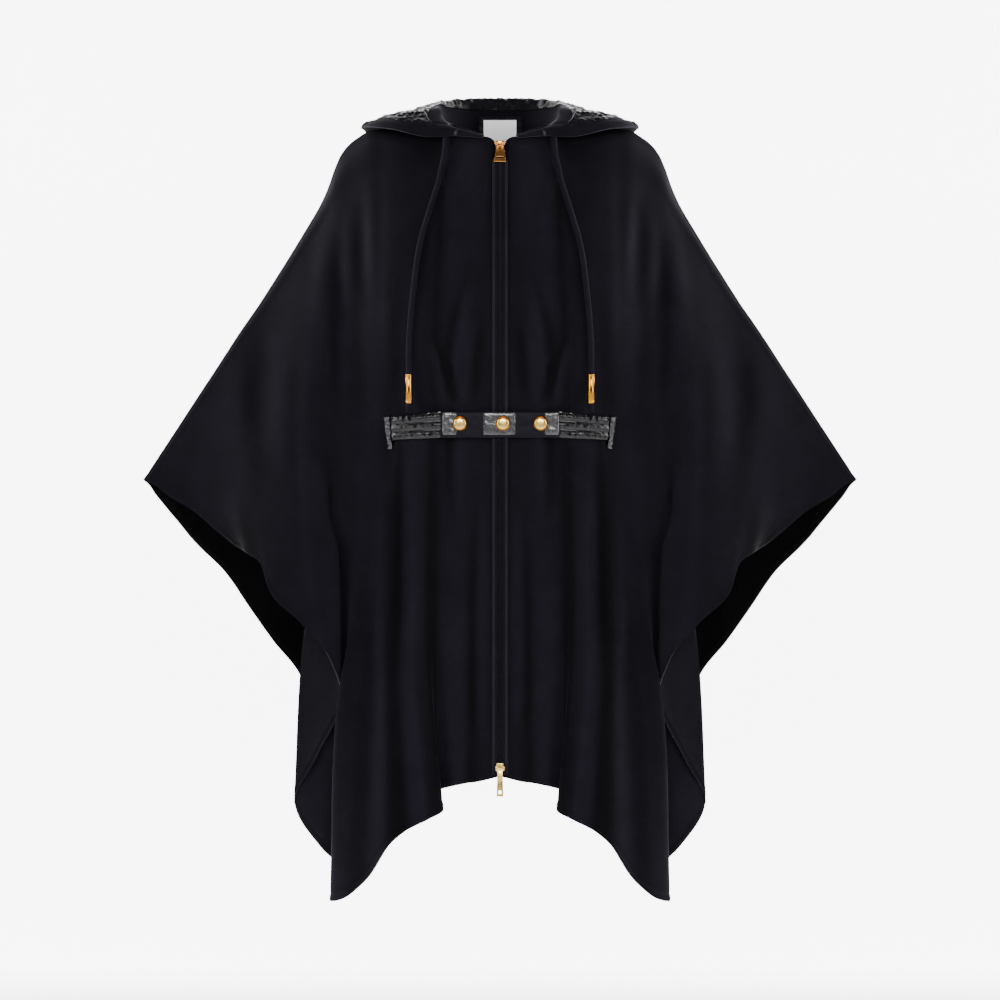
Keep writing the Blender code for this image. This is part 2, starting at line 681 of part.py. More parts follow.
def even_line(points, steps):
    """A smooth line through flat points, read at even steps, with the unit sideways direction at each."""
    length = np.concatenate([[0], np.cumsum(np.linalg.norm(np.diff(points, axis=0), axis=1))])
    line = smooth(length / length[-1], points, np.linspace(0, 1, steps))
    run = np.gradient(line, axis=0)
    side = np.stack([run[:, 1], -run[:, 0]], axis=1) / np.linalg.norm(run, axis=1, keepdims=True)
    return line, side


def make_belt(outer_tree):
    """The front band, the shirred elastic on each side of it, and the plain length inside the cape."""
    low, high = belt_edges(0)
    xs = np.linspace(-BELT_HALF, BELT_HALF, BELT_STEPS)
    band_y = min(front_y(outer_tree, x, z) for x in xs for z in (low, high)) - BELT_LIFT
    faces = [(x, band_y + BELT_ROUNDING * (x / BELT_HALF) ** 2) for x in xs]
    inner = np.array([[(x, y, low), (x, y, high)] for x, y in faces])
    wall("belt_centre", inner - np.array([0, BELT_THICK, 0]), inner, "nylon")

    start_y = inner[-1, 0, 1]
    turn_x = SLIT_INNER + ELASTIC_TURN[0][0]
    near = min(front_y(outer_tree, turn_x, z) for z in belt_edges(SLIT_INNER)) - GAP * 3
    over = []
    for x, least in ((0.092, -0.1095), (0.112, near - 0.0045)):
        cloth = min(front_y(outer_tree, x, z) for z in belt_edges(x))
        over.append((x, min(start_y, least, cloth - 0.0014) if not over else min(least, cloth - 0.0014)))
    turn = [(SLIT_INNER + x, near + behind) for x, behind in ELASTIC_TURN]
    line, side = even_line(np.array([(BELT_HALF + GAP, start_y), *over, *turn]), GATHER_STEPS + 1)
    outer, plain = [], []
    for i, (x, y) in enumerate(line):
        low, high = belt_edges(x)
        gather = GATHER_DEPTH * (i % 2) * (1 if 0 < i < GATHER_STEPS else 0)
        fade = min(1.0, GATHER_FADE * (1 - i / GATHER_STEPS))
        zs = [low + (high - low) * share for share in RIB_ROWS]
        out = [ELASTIC_THICK + (rise + gather) * fade for rise in RIB_HEIGHTS]
        outer.append([(x + side[i, 0] * o, y + side[i, 1] * o, z) for o, z in zip(out, zs)])
        plain.append([(x, y, z) for z in zs])
    outer, plain = np.array(outer), np.array(plain)
    for name, half in (("left", -1), ("right", 1)):
        wall("belt_elastic_" + name, mirrored(outer, half), mirrored(plain, half), "nylon")

    start = (SLIT_INNER + ELASTIC_TURN[-2][0] + 0.0026, near + 0.0135)
    loop = np.array([start, *INNER_BELT_ROUTE])
    loop = np.concatenate([loop, loop[-2::-1] * np.array([-1, 1])])
    line, side = even_line(loop, INNER_BELT_STEPS)
    low, high = belt_edges(SLIT_OUTER)
    outside = line + side * INNER_BELT_THICK
    wall("belt_inner", *(
        np.array([[(x, y, low), (x, y, high)] for x, y in face]) for face in (outside, line)
    ), "nylon")


# The slit welt across its width: the share of the width, and how high it stands
WELT_SECTION = ((0.0, 0.0012), (0.35, 0.0026), (0.7, 0.0024), (1.0, 0.0010))
SLIT_WELT_WIDTH = 0.0058
SLIT_WELT_LEAN = (0.0035, -0.0004)
SLIT_WELT_STEPS = 7


def make_slit_welts(outer_tree):
    """The shiny welt along the outer edge of each slit, leaning a little toward the centre as it falls."""
    zs = np.linspace(SLIT_TOP + 0.0035, SLIT_BOTTOM - 0.0005, SLIT_WELT_STEPS)
    lean = np.maximum(np.linspace(SLIT_WELT_LEAN[0], -0.0030, SLIT_WELT_STEPS), SLIT_WELT_LEAN[1])
    outer, inner = [], []
    for share, lift in WELT_SECTION:
        xs = SLIT_OUTER + 0.0012 + share * SLIT_WELT_WIDTH + lean
        line = [(x, front_y(outer_tree, x, z) - GAP * 2.5, z) for x, z in zip(xs, zs)]
        inner.append(line)
        outer.append([(x, y - lift, z) for x, y, z in line])
    for name, half in (("left", -1), ("right", 1)):
        wall("slit_welt_" + name, mirrored(np.array(outer), half), mirrored(np.array(inner), half), "nylon")


SCREW_MERGE = 0.00002
SNAP_RISE = 0.0030
SNAP_SIDE = 0.0012
SNAP_BEVEL = 0.0006
SNAP_ABOVE = 0.0015


def turned(name, profile, place, material_name, steps=18):
    """A shape turned about the Y axis at a place. The profile gives radius and how far it stands forward."""
    data = bpy.data.meshes.new(name)
    points = [(radius, 0, height) for radius, height in profile]
    data.from_pydata(points, [(i, i + 1) for i in range(len(points) - 1)], [])
    obj = bpy.data.objects.new(name, data)
    bpy.context.scene.collection.objects.link(obj)
    screw = obj.modifiers.new("turn", "SCREW")
    screw.steps = steps
    screw.render_steps = steps
    screw.use_merge_vertices = True
    screw.merge_threshold = SCREW_MERGE
    obj.rotation_euler = (math.radians(90), 0, 0)
    obj.location = place
    return keep(obj, name, material_name)


def make_snaps():
    belt = bpy.data.objects["belt_centre"]
    face = min(vert.co.y for vert in belt.data.vertices)
    for name, x in SNAP_PLACES:
        angles = np.linspace(0, math.pi / 2, 5)
        dome = [(SNAP_RADIUS * math.sin(a), SNAP_SIDE + SNAP_RISE * math.cos(a)) for a in angles]
        dome[0] = (0.0, dome[0][1])
        profile = dome + [(SNAP_RADIUS, SNAP_BEVEL), (SNAP_RADIUS - SNAP_BEVEL, 0.0), (0.0, 0.0)]
        turned(name, profile, (x, face - GAP, BELT_Z + SNAP_ABOVE), "brass")


def tube(name, points, diameter, material_name, resolution=2):
    """A cord or rod through the points, with closed ends."""
    curve = bpy.data.curves.new(name, "CURVE")
    curve.dimensions = "3D"
    curve.bevel_depth = diameter / 2
    curve.bevel_resolution = resolution
    curve.use_fill_caps = True
    spline = curve.splines.new("POLY")
    spline.points.add(len(points) - 1)
    for point, place in zip(spline.points, points):
        point.co = (*place, 1.0)
    obj = bpy.data.objects.new(name, curve)
    bpy.context.scene.collection.objects.link(obj)
    return keep(obj, name, material_name)


def make_cords(outer_tree):
    """Each drawcord hangs from the hood rim over the chest and ends in a metal tube, a short end below it."""
    route = np.array(CORD_ROUTE)
    for i in range(1, len(route)):
        lying = front_y(outer_tree, route[i, 0], route[i, 2]) - CORD_STANDOFF
        route[i, 1] = min(route[i, 1], lying)
    route[-1, :2] = route[-2, :2]
    length = np.concatenate([[0], np.cumsum(np.linalg.norm(np.diff(route, axis=0), axis=1))])
    points = smooth(length, route, np.linspace(0, length[-1], 24))
    points[1:] = [clear_of(outer_tree, point, CORD_STANDOFF) for point in points[1:]]
    points[-1, :2] = points[-2, :2]
    low = points[-1]
    for name, half in (("left", -1), ("right", 1)):
        flip = np.array([half, 1, 1])
        tube("drawcord_" + name, points * flip, CORD_DIAMETER, "cord", 2)
        top = (low + np.array([0.0, 0.0, -GAP])) * flip
        down = np.array([0.0, 0.0, -1.0])
        tube("cord_tip_" + name, [top, top + down * TIP_LENGTH], TIP_DIAMETER, "brass", 4)
        end = top + down * (TIP_LENGTH + GAP)
        tube("cord_end_" + name, [end, end + down * CORD_END_LENGTH], CORD_DIAMETER * 0.8, "cord", 2)


SLIDER_SIZE = (0.0115, 0.0036, 0.0105)
SLIDER_TOP_Z = -0.0100
SLIDER_LOW_Z = -0.7840
PULL_THICK = 0.0014
PULL_HEAD = 0.0011
PULL_HEAD_STEPS = 11
PULL_TAPER = 0.84
TOP_HINGE_OUT = 0.0022
LOW_HINGE_OUT = 0.0016
SLIDER_SEAT = 0.0006
TOP_LEAN = math.radians(21)
LOW_LEAN = math.radians(3)


def slider(name, z, y, point_down, lean):
    """A zip slider's front plate: a block that narrows toward the closed teeth and leans with the cloth."""
    width, depth, height = SLIDER_SIZE
    mesh = box_mesh((width, depth, height), (0, y - depth / 2, z), 0)
    for vert in mesh.verts:
        if (vert.co.z < z) == point_down:
            vert.co.x *= 0.78
        vert.co.y += (vert.co.z - z) * math.tan(lean)
    bmesh.ops.bevel(mesh, geom=list(mesh.edges), offset=0.0008, segments=2, affect="EDGES", profile=0.5)
    return object_from(mesh, name, "copper_brass")


def pull(name, hinge, lean, length, top_width, low_width, hole, round_hole):
    """A flat pull tab that leans forward with the cloth. Its round head is centred on the hinge's axis, where
    the object has its origin."""
    half = PULL_THICK / 2
    straight = -length * PULL_TAPER
    start = math.asin(half / PULL_HEAD)
    turns = np.linspace(start, 2 * math.pi - start, PULL_HEAD_STEPS)
    outline = [(PULL_HEAD * math.sin(turn), -PULL_HEAD * math.cos(turn)) for turn in turns]
    outline += [(-half, straight), (-half, -length), (half, -length), (half, straight)]
    mesh = bmesh.new()
    left, right = [], []
    for y, z in outline:
        width = np.interp(z, (straight, 0), (low_width, top_width))
        left.append(mesh.verts.new((-width / 2, y, z)))
        right.append(mesh.verts.new((width / 2, y, z)))
    for i in range(len(outline)):
        mesh.faces.new((left[i - 1], left[i], right[i], right[i - 1]))
    last = PULL_HEAD_STEPS - 1
    for side in (left, right):
        mesh.faces.new(side[: last + 1])
        mesh.faces.new((side[last], side[last + 1], side[last + 4], side[0]))
        mesh.faces.new(side[last + 1 :])
    obj = object_from(mesh, name, "copper_brass")
    obj.location = hinge
    obj.rotation_euler = (-lean, 0, 0)
    width, height, centre = hole
    place = Vector(hinge) + Matrix.Rotation(-lean, 3, "X") @ Vector((0, 0, centre))
    if round_hole:
        turn = (math.radians(90) - lean, 0, 0)
        bpy.ops.mesh.primitive_cylinder_add(
            vertices=16, radius=width / 2, depth=0.01, location=place, rotation=turn
        )
    else:
        bpy.ops.mesh.primitive_cube_add(size=1, location=place, rotation=(-lean, 0, 0))
        bpy.context.object.scale = (width, 0.01, height)
    cutter = bpy.context.object
    cutter.name = name + "_hole"
    cut(obj, cutter)
    return obj


def make_sliders(outer_tree):
    """Two sliders on the zip, and a pull tab that swings in front of each."""
    top_y = front_y(outer_tree, 0.006, SLIDER_TOP_Z) - SLIDER_SEAT
    low_y = front_y(outer_tree, 0.006, SLIDER_LOW_Z) - WELT_THICK - GAP * 4
    slider("top_slider", SLIDER_TOP_Z, top_y, True, TOP_LEAN)
    slider("bottom_slider", SLIDER_LOW_Z, low_y, False, 0.0)
    hinge = (0, top_y - SLIDER_SIZE[1] - TOP_HINGE_OUT, -0.0115)
    pull("top_pull", hinge, TOP_LEAN, 0.0215, 0.0095, 0.0155, (0.0085, 0.0022, -0.0162), False)
    hinge = (0, low_y - SLIDER_SIZE[1] - LOW_HINGE_OUT, -0.7860)
    pull("bottom_pull", hinge, LOW_LEAN, 0.0345, 0.0060, 0.0085, (0.0042, 0.0042, -0.0290), True)


def make_label(hood):
    """A nylon patch inside the back of the neck, and a bare white label on it."""
    tree = tree_of([hood, mirrored(hood, -1)])
    for name, half_width, low, high, offset, thick, colour in (
        ("label_patch", 0.0270, 0.0035, 0.0285, 0.0012, 0.0009, "nylon"),
        ("label", 0.0205, 0.0040, 0.0240, 0.0025, 0.0007, "label_white"),
    ):
        outer, inner = [], []
        for x in np.linspace(-half_width, half_width, 9):
            line = []
            for z in np.linspace(low, high, 4):
                hit = tree.ray_cast(Vector((x if abs(x) > 2e-4 else 2e-4, 0.0, z)), Vector((0, 1, 0)))[0]
                line.append((x, hit.y - offset, z))
            inner.append(line)
            outer.append([(x, y - thick, z) for x, y, z in line])
        wall(name, np.array(outer), np.array(inner), colour)


def main():
    for obj in list(bpy.data.objects):
        bpy.data.objects.remove(obj, do_unlink=True)
    for name in ("cape", "cutters"):
        collection = bpy.data.collections.new(name)
        bpy.context.scene.collection.children.link(collection)
    outer, inner, _ = front_surface()
    outer_tree = tree_of([outer])
    make_fronts()
    make_back()
    make_hood()
    make_label(hood_grid())
    make_zip(outer_tree, tree_of([inner]), outer[0, :, 2])
    make_belt(outer_tree)
    make_slit_welts(outer_tree)
    make_snaps()
    make_cords(outer_tree)
    make_sliders(outer_tree)


main()
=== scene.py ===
import json
import math

import bmesh
import bpy
import numpy as np
from mathutils import Matrix, Vector, noise
from mathutils.bvhtree import BVHTree


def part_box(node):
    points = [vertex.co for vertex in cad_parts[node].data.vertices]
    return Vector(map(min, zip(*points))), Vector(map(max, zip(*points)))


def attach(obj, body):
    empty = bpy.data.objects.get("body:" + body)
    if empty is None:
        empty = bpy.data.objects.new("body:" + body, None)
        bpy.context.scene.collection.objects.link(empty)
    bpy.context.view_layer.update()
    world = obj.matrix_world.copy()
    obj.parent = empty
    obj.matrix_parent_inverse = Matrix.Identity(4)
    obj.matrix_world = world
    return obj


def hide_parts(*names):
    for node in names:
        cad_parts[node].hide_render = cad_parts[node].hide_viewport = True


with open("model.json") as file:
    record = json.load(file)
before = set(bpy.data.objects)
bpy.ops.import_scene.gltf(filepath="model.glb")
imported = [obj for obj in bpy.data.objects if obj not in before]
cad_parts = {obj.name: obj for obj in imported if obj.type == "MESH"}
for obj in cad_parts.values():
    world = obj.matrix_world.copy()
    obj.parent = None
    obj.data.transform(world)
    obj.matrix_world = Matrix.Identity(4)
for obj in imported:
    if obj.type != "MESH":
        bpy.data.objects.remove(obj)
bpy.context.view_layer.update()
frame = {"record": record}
sides = (("left", -1), ("right", 1))

# Cloth, in metres: its thickness, the gap between pieces, how far its inside lies from its outside in the
# weave, the size of its cells, and the length of each panel
cloth = 0.0020
gap = 0.0003
insideShift = 2.0
clothCell = 0.0045
frontLength = 0.83
backLength = 0.80
backCoarse = 1.15

# Where cloth is looked for beside a place that has none
searchStep = 0.0004
searchDrop = 0.002
panelMiddle = -0.4

# Closer cells at the top and at the free edges
topPlaces = (0.002, 0.005)
edgePlaces = (0.0018, 0.004, 0.007, 0.0090, 0.0105, 0.0125)

# Turned edges: a ridge, and a line of sewing behind it, each with its height, its place and its width
edgeRidge = 0.0006
ridgePlace = 0.0035
ridgeWidth = 0.0035
edgeSewing = 0.0005
sewingPlace = 0.0105
sewingWidth = 0.0018

# The deep fold at the side, above which the cloth hangs in one soft layer
foldStart = 0.70
foldFade = 0.18
foldPlace = 0.208
foldReach = 0.020
foldRounds = 160

# Painted light and shade on the folds: how strongly the cloth's lean lightens or darkens its colour, its
# limits, the number of columns it is measured over, and a painted shadow darkening the corner of the wing
napDepth = 1.35
napLimits = (-0.55, 0.9)
napReach = 16
shadedCornerPlace = (0.325, -0.505)
shadedCornerSize = (0.020, 0.030)
shadedCornerDepth = 0.8

# Neck
neckHalfWidth = 0.0725
neckFrontDepth = 0.078
neckBackDepth = 0.070
backNeckDrop = 0.028

# Hood
hoodSeam = 0.0005
hoodClearance = 0.004
hoodRows = 128
hoodProfile = np.linspace(0, 1, 90)
casingWidth = 0.022
casingRise = 0.0009
casingGroove = 0.0007
liningLift = 0.0006
liningThin = 0.0001
liningThick = 0.0005
liningFade = 9.0
wrinkleHeight = 0.0030
seamGather = 0.016
# Past this distance from the centre line the hood's front point takes the lighter glossy nylon: a painted
# highlight
glintPatchFrom = 0.0528

# Zip
zipEdge = 0.0018
zipRows = 170
weltWidth = 0.0080
weltThick = 0.0017
weltTop = -0.030
weltPast = 0.006
weltShares = np.array([0, 0.06, 0.18, 0.36, 0.56, 0.70, 0.80, 0.90, 0.97, 1.0])
weltRises = np.array([0.35, 0.80, 0.92, 0.80, 0.66, 0.74, 1.15, 1.25, 0.85, 0.3])
# Where the ridge lies across the welt, as shares of its width: it takes a lighter wool, a painted highlight
litRidgeShares = (0.62, 0.99)
tapeWidth = 0.0125
tapeThick = 0.0008
tapeBehind = 0.0008
zipTop = -0.022
zipBottom = -0.788
toothPitch = 0.0026
toothSize = (0.0028, 0.0016, toothPitch * 0.46)
toothOut = 0.0011
toothBack = 0.0012
teethTop = -0.0175
teethRun = 0.7640

# Belt
beltHeight = 0.0325
beltZ = -0.3590
beltHalf = 0.0738
beltThick = 0.0022
beltDrop = 0.005
beltNarrowing = 0.14
beltLift = 0.0026
beltBow = 0.0010
beltPanels = (("left", -0.0712, -0.0545), ("middle", -0.0205, 0.0190), ("right", 0.0560, 0.0728))
beltPanelLow = -0.3715
beltPanelHigh = -0.3440
slitInner = 0.1348
slitOuter = 0.1398
slitTop = -0.3480
slitBottom = -0.3865
slitLean = 0.0042
slitReach = 0.009
slitFade = 0.02
slitWeltWidth = 0.0068
slitWeltThin = 0.0009
slitWeltRise = 0.0022
elasticRows = 3
elasticThin = 0.0008
elasticRib = 0.0013
elasticPuff = 0.0034
bandRipple = 0.00035
snapRadius = 0.0090
snapDome = 0.0078
# Radius past which a snap's dome takes the deeper gold: painted shade where it turns away from the lamps
snapRim = 0.0070

# Turned pieces: points closer than this become one
sameSpot = 0.000005

# Cords
cordDiameter = 0.0072
cordClearance = 0.0016
tipDiameter = 0.0088
tipLength = 0.036
tipWall = 0.0007
tipGroove = 0.00025
cordEndLength = 0.011

# Sliders and pulls
topLean = math.radians(21)
lowLean = math.radians(3)
sliderDepth = 0.0036
sliderTaper = 0.72
ringRadius = 0.0017
ringWire = 0.00048
barRadius = 0.0010
toolDepth = 0.01

# How far down a fold line each level lies, from 0 at the seam to 1 at the hem, and where the line's crown and
# its top lie between the seam and the chest
levels = (0.0, 0.02, 0.06, 0.25, 0.46, 0.78, 1.0)
crown = 0.55
crownOut = 0.12
topOut = 0.35

# Fold lines of one front, from the zip out to the side edge. x is the distance from the centre line, y is how
# far the cloth stands forward, z is up.
frontColumns = (
    "seamX", "seamZ", "chestX", "waistX", "lowX", "hemX", "hemZ", "topY", "chestY", "waistY", "lowY", "hemY",
)
frontFolds = {
    "zip edge": (0.0018, -0.012, 0.0018, 0.0018, 0.0018, 0.0018, -0.796, 0.092, 0.118, 0.106, 0.128, 0.137),
    "neck notch": (0.0125, -0.0012, 0.02, 0.021, 0.023, 0.025, -0.802, 0.094, 0.119, 0.106, 0.128, 0.134),
    "centre swell": (0.04, 0.001, 0.044, 0.042, 0.044, 0.046, -0.805, 0.086, 0.122, 0.106, 0.129, 0.141),
    "centre valley": (0.06, 0.0095, 0.069, 0.071, 0.077, 0.08, -0.815, 0.072, 0.118, 0.104, 0.123, 0.127),
    "belt ridge": (0.0735, 0.02, 0.087, 0.092, 0.0925, 0.0712, -0.839, 0.058, 0.121, 0.107, 0.14, 0.15),
    "wave one": (0.094, 0.018, 0.104, 0.106, 0.108, 0.09, -0.849, 0.056, 0.121, 0.105, 0.14, 0.163),
    "trough one": (0.112, 0.016, 0.121, 0.119, 0.123, 0.112, -0.86, 0.055, 0.116, 0.099, 0.13, 0.15),
    "wave two": (0.13, 0.014, 0.137, 0.131, 0.14, 0.137, -0.88, 0.053, 0.111, 0.098, 0.134, 0.165),
    "trough two": (0.148, 0.0115, 0.151, 0.144, 0.16, 0.167, -0.924, 0.049, 0.102, 0.095, 0.126, 0.153),
    "wave three": (0.166, 0.008, 0.163, 0.155, 0.182, 0.193, -0.946, 0.044, 0.093, 0.092, 0.124, 0.144),
    "drop fold": (0.18, -0.001, 0.174, 0.165, 0.205, 0.2115, -0.9505, 0.038, 0.084, 0.088, 0.115, 0.122),
    "drop valley": (0.189, -0.009, 0.185, 0.178, 0.191, 0.179, -0.9275, 0.033, 0.079, 0.083, 0.1, 0.086),
    "back layer": (0.197, -0.0175, 0.195, 0.189, 0.216, 0.2225, -0.886, 0.03, 0.076, 0.082, 0.084, 0.067),
    "outer fold": (0.204, -0.03, 0.203, 0.199, 0.2465, 0.2557, -0.831, 0.028, 0.074, 0.082, 0.071, 0.054),
    "middle layer": (0.2095, -0.043, 0.209, 0.206, 0.225, 0.229, -0.774, 0.026, 0.072, 0.083, 0.084, 0.078),
    "front fold": (0.2125, -0.058, 0.215, 0.214, 0.1985, 0.1965, -0.699, 0.024, 0.07, 0.0855, 0.099, 0.106),
    "front layer": (0.22, -0.0775, 0.229, 0.232, 0.226, 0.211, -0.651, 0.02, 0.062, 0.084, 0.1, 0.109),
    "wing root": (0.246, -0.12, 0.255, 0.256, 0.252, 0.245, -0.609, 0.016, 0.051, 0.073, 0.094, 0.104),
    "wing crease": (0.2975, -0.2025, 0.297, 0.295, 0.29, 0.286, -0.5675, 0.012, 0.037, 0.057, 0.079, 0.09),
    "wing fall": (0.3275, -0.246, 0.325, 0.32, 0.308, 0.2985, -0.531, 0.01, 0.031, 0.048, 0.067, 0.078),
    "wing middle": (0.356, -0.29, 0.348, 0.339, 0.325, 0.314, -0.52, 0.009, 0.025, 0.039, 0.055, 0.065),
    "wing end": (0.4025, -0.361, 0.385, 0.369, 0.341, 0.321, -0.515, 0.007, 0.016, 0.025, 0.037, 0.05),
    "side edge": (0.446, -0.4275, 0.414, 0.385, 0.354, 0.331, -0.509, 0.005, 0.01, 0.016, 0.026, 0.037),
}

# Fold lines of one half of the back, from the centre out to the side edge; y is how far the cloth stands back
backColumns = (
    "seamX", "chestX", "waistX", "lowX", "hemX", "hemZ", "topY", "chestY", "waistY", "lowY", "hemY",
)
backFolds = {
    "centre": (0.0, 0.0, 0.0, 0.0, 0.0, -0.79, 0.085, 0.12, 0.119, 0.13, 0.136),
    "wave one": (0.032, 0.038, 0.042, 0.048, 0.052, -0.8, 0.082, 0.121, 0.123, 0.143, 0.159),
    "trough one": (0.058, 0.072, 0.08, 0.09, 0.096, -0.818, 0.071, 0.115, 0.114, 0.121, 0.123),
    "wave two": (0.088, 0.108, 0.118, 0.13, 0.139, -0.842, 0.06, 0.11, 0.115, 0.135, 0.155),
    "trough two": (0.118, 0.14, 0.15, 0.166, 0.174, -0.875, 0.057, 0.099, 0.103, 0.11, 0.109),
    "corner": (0.15, 0.168, 0.178, 0.196, 0.203, -0.893, 0.05, 0.089, 0.098, 0.117, 0.13),
    "side fall": (0.176, 0.19, 0.196, 0.208, 0.212, -0.83, 0.041, 0.08, 0.09, 0.103, 0.105),
    "side valley": (0.2, 0.208, 0.214, 0.224, 0.23, -0.745, 0.031, 0.069, 0.08, 0.087, 0.087),
    "side ridge": (0.216, 0.228, 0.234, 0.243, 0.2487, -0.6775, 0.022, 0.062, 0.078, 0.092, 0.098),
    "wing fold": (0.25, 0.262, 0.268, 0.278, 0.285, -0.629, 0.016, 0.049, 0.066, 0.078, 0.082),
    "wing root": (0.3, 0.303, 0.306, 0.31, 0.3125, -0.59, 0.012, 0.036, 0.053, 0.068, 0.074),
    "wing middle": (0.355, 0.352, 0.35, 0.347, 0.345, -0.5425, 0.009, 0.024, 0.037, 0.049, 0.055),
    "wing end": (0.405, 0.398, 0.391, 0.381, 0.375, -0.5125, 0.007, 0.015, 0.022, 0.031, 0.036),
    "side edge": (0.446, 0.431, 0.419, 0.4, 0.3875, -0.499, 0.005, 0.009, 0.014, 0.021, 0.026),
}

# Sections of one half of the hood as it lies back, from the centre seam round to its front corner, each from
# the neck seam up the stand, over the crest, and through the pouch to the rim of the face opening
hoodStations = ("neck", "stand", "crest", "inner", "bottom", "outer", "rim")
hoodSections = {
    "centre seam": (
        (0.0, 0.07, -0.005), (0.0, 0.077, 0.024), (0.0, 0.094, 0.0475), (0.0, 0.118, -0.03),
        (0.0, 0.15, -0.215), (0.0, 0.184, -0.11), (0.0, 0.176, 0.02),
    ),
    "back": (
        (0.034, 0.0615, 0.001), (0.037, 0.07, 0.026), (0.043, 0.085, 0.047), (0.054, 0.112, -0.02),
        (0.062, 0.147, -0.2), (0.078, 0.176, -0.105), (0.072, 0.168, 0.02),
    ),
    "back side": (
        (0.06, 0.0393, 0.014), (0.065, 0.046, 0.031), (0.0735, 0.055, 0.0455), (0.098, 0.088, 0.01),
        (0.114, 0.128, -0.135), (0.14, 0.142, -0.07), (0.132, 0.134, 0.019),
    ),
    "side": (
        (0.0722, 0.01, 0.023), (0.0755, 0.012, 0.033), (0.08, 0.016, 0.0405), (0.11, 0.034, 0.031),
        (0.138, 0.066, -0.006), (0.158, 0.068, -0.003), (0.169, 0.062, 0.014),
    ),
    "shoulder": (
        (0.0725, -0.004, 0.023), (0.075, -0.004, 0.032), (0.079, -0.003, 0.039), (0.11, 0.002, 0.0315),
        (0.136, 0.008, 0.0262), (0.158, 0.009, 0.0215), (0.171, 0.004, 0.015),
    ),
    "shoulder front": (
        (0.0712, -0.015, 0.0225), (0.073, -0.018, 0.03), (0.076, -0.021, 0.0355), (0.097, -0.024, 0.033),
        (0.116, -0.028, 0.0265), (0.132, -0.035, 0.019), (0.134, -0.041, 0.0105),
    ),
    "front": (
        (0.066, -0.032, 0.0195), (0.0685, -0.036, 0.0215), (0.073, -0.041, 0.0225), (0.08, -0.046, 0.02),
        (0.087, -0.05, 0.0165), (0.092, -0.054, 0.009), (0.091, -0.056, 0.0005),
    ),
    "front corner": (
        (0.054, -0.052, 0.014), (0.055, -0.0545, 0.011), (0.056, -0.0575, 0.0115), (0.0572, -0.06, 0.01),
        (0.0582, -0.062, 0.0072), (0.059, -0.0635, 0.005), (0.0595, -0.0645, 0.0015),
    ),
    "front point": (
        (0.02, -0.0752, 0.003), (0.0202, -0.0765, 0.0012), (0.0206, -0.078, 0.0019), (0.021, -0.0795, 0.0016),
        (0.0214, -0.0808, 0.0008), (0.0216, -0.0818, -0.0002), (0.0217, -0.0826, -0.0014),
    ),
}

# Where the nylon lining begins on each section, as a share of the way from the neck seam to the rim, and how
# wide the wool facing is that it ends at
liningStart = (0.225, 0.225, 0.235, 0.34, 0.37, 0.42, 0.6, 1.0, 1.0)
facingWidths = (0.029, 0.029, 0.029, 0.026, 0.02, 0.015, 0.015, 0.015, 0.015)

# The right drawcord's route; where the cord lies on the front, its y follows the cloth
cordRoute = (
    (0.0675, -0.0632, -0.0016), (0.0677, -0.066, -0.008), (0.0688, -0.07, -0.02), (0.072, 0, -0.038),
    (0.0757, 0, -0.054), (0.083, 0, -0.078), (0.0893, 0, -0.098), (0.0975, 0, -0.126), (0.1025, 0, -0.15),
    (0.107, 0, -0.186), (0.11, 0, -0.215), (0.1122, 0, -0.243), (0.1133, 0, -0.27), (0.1138, 0, -0.296),
)

# Soft creases drawn on the cloth as seen from the front: from a top to an end, bowed sideways by bow, raised
# by lift or sunk where lift is below zero, with how much of their length fades at each end
creasePieces = 24
creaseColumns = ("topX", "topZ", "endX", "endZ", "bow", "lift", "width", "fadeIn", "fadeOut")
frontCreases = (
    (0.035, -0.165, 0.0625, -0.32, 0.006, -0.0071, 0.0085, 0.45, 0.35),
    (0.023, -0.21, 0.038, -0.335, 0.004, 0.0044, 0.009, 0.45, 0.35),
    (0.216, -0.09, 0.236, -0.26, -0.004, 0.002, 0.012, 0.45, 0.55),
    (0.185, -0.055, 0.179, -0.25, 0.003, 0.0026, 0.012, 0.45, 0.55),
    (0.16, -0.05, 0.153, -0.23, 0.002, 0.0022, 0.011, 0.45, 0.55),
    (0.172, -0.055, 0.165, -0.24, 0.002, -0.0026, 0.009, 0.45, 0.55),
    (0.2, -0.1, 0.196, -0.36, 0.003, -0.0045, 0.012, 0.4, 0.4),
    (0.056, -0.325, 0.052, -0.5, 0.003, -0.0058, 0.008, 0.25, 0.6),
    (0.088, -0.245, 0.065, -0.338, -0.004, 0.0051, 0.007, 0.45, 0.25),
    (0.075, -0.26, 0.048, -0.34, -0.003, -0.0044, 0.0065, 0.45, 0.25),
    (0.025, -0.42, 0.028, -0.76, 0.002, -0.0048, 0.0085, 0.45, 0.2),
    (0.118, -0.39, 0.12, -0.68, 0.002, -0.0058, 0.011, 0.4, 0.4),
    (0.14, -0.4, 0.145, -0.72, 0.002, 0.0061, 0.011, 0.4, 0.4),
    (0.285, -0.23, 0.295, -0.39, 0.01, -0.005, 0.022, 0.45, 0.5),
    (0.265, -0.26, 0.26, -0.46, 0.006, 0.004, 0.02, 0.45, 0.5),
)
backCreases = (
    (0.02, -0.28, 0.028, -0.76, 0.004, 0.0068, 0.016, 0.4, 0.2),
    (0.16, -0.14, 0.172, -0.42, 0.006, -0.0059, 0.012, 0.4, 0.4),
)


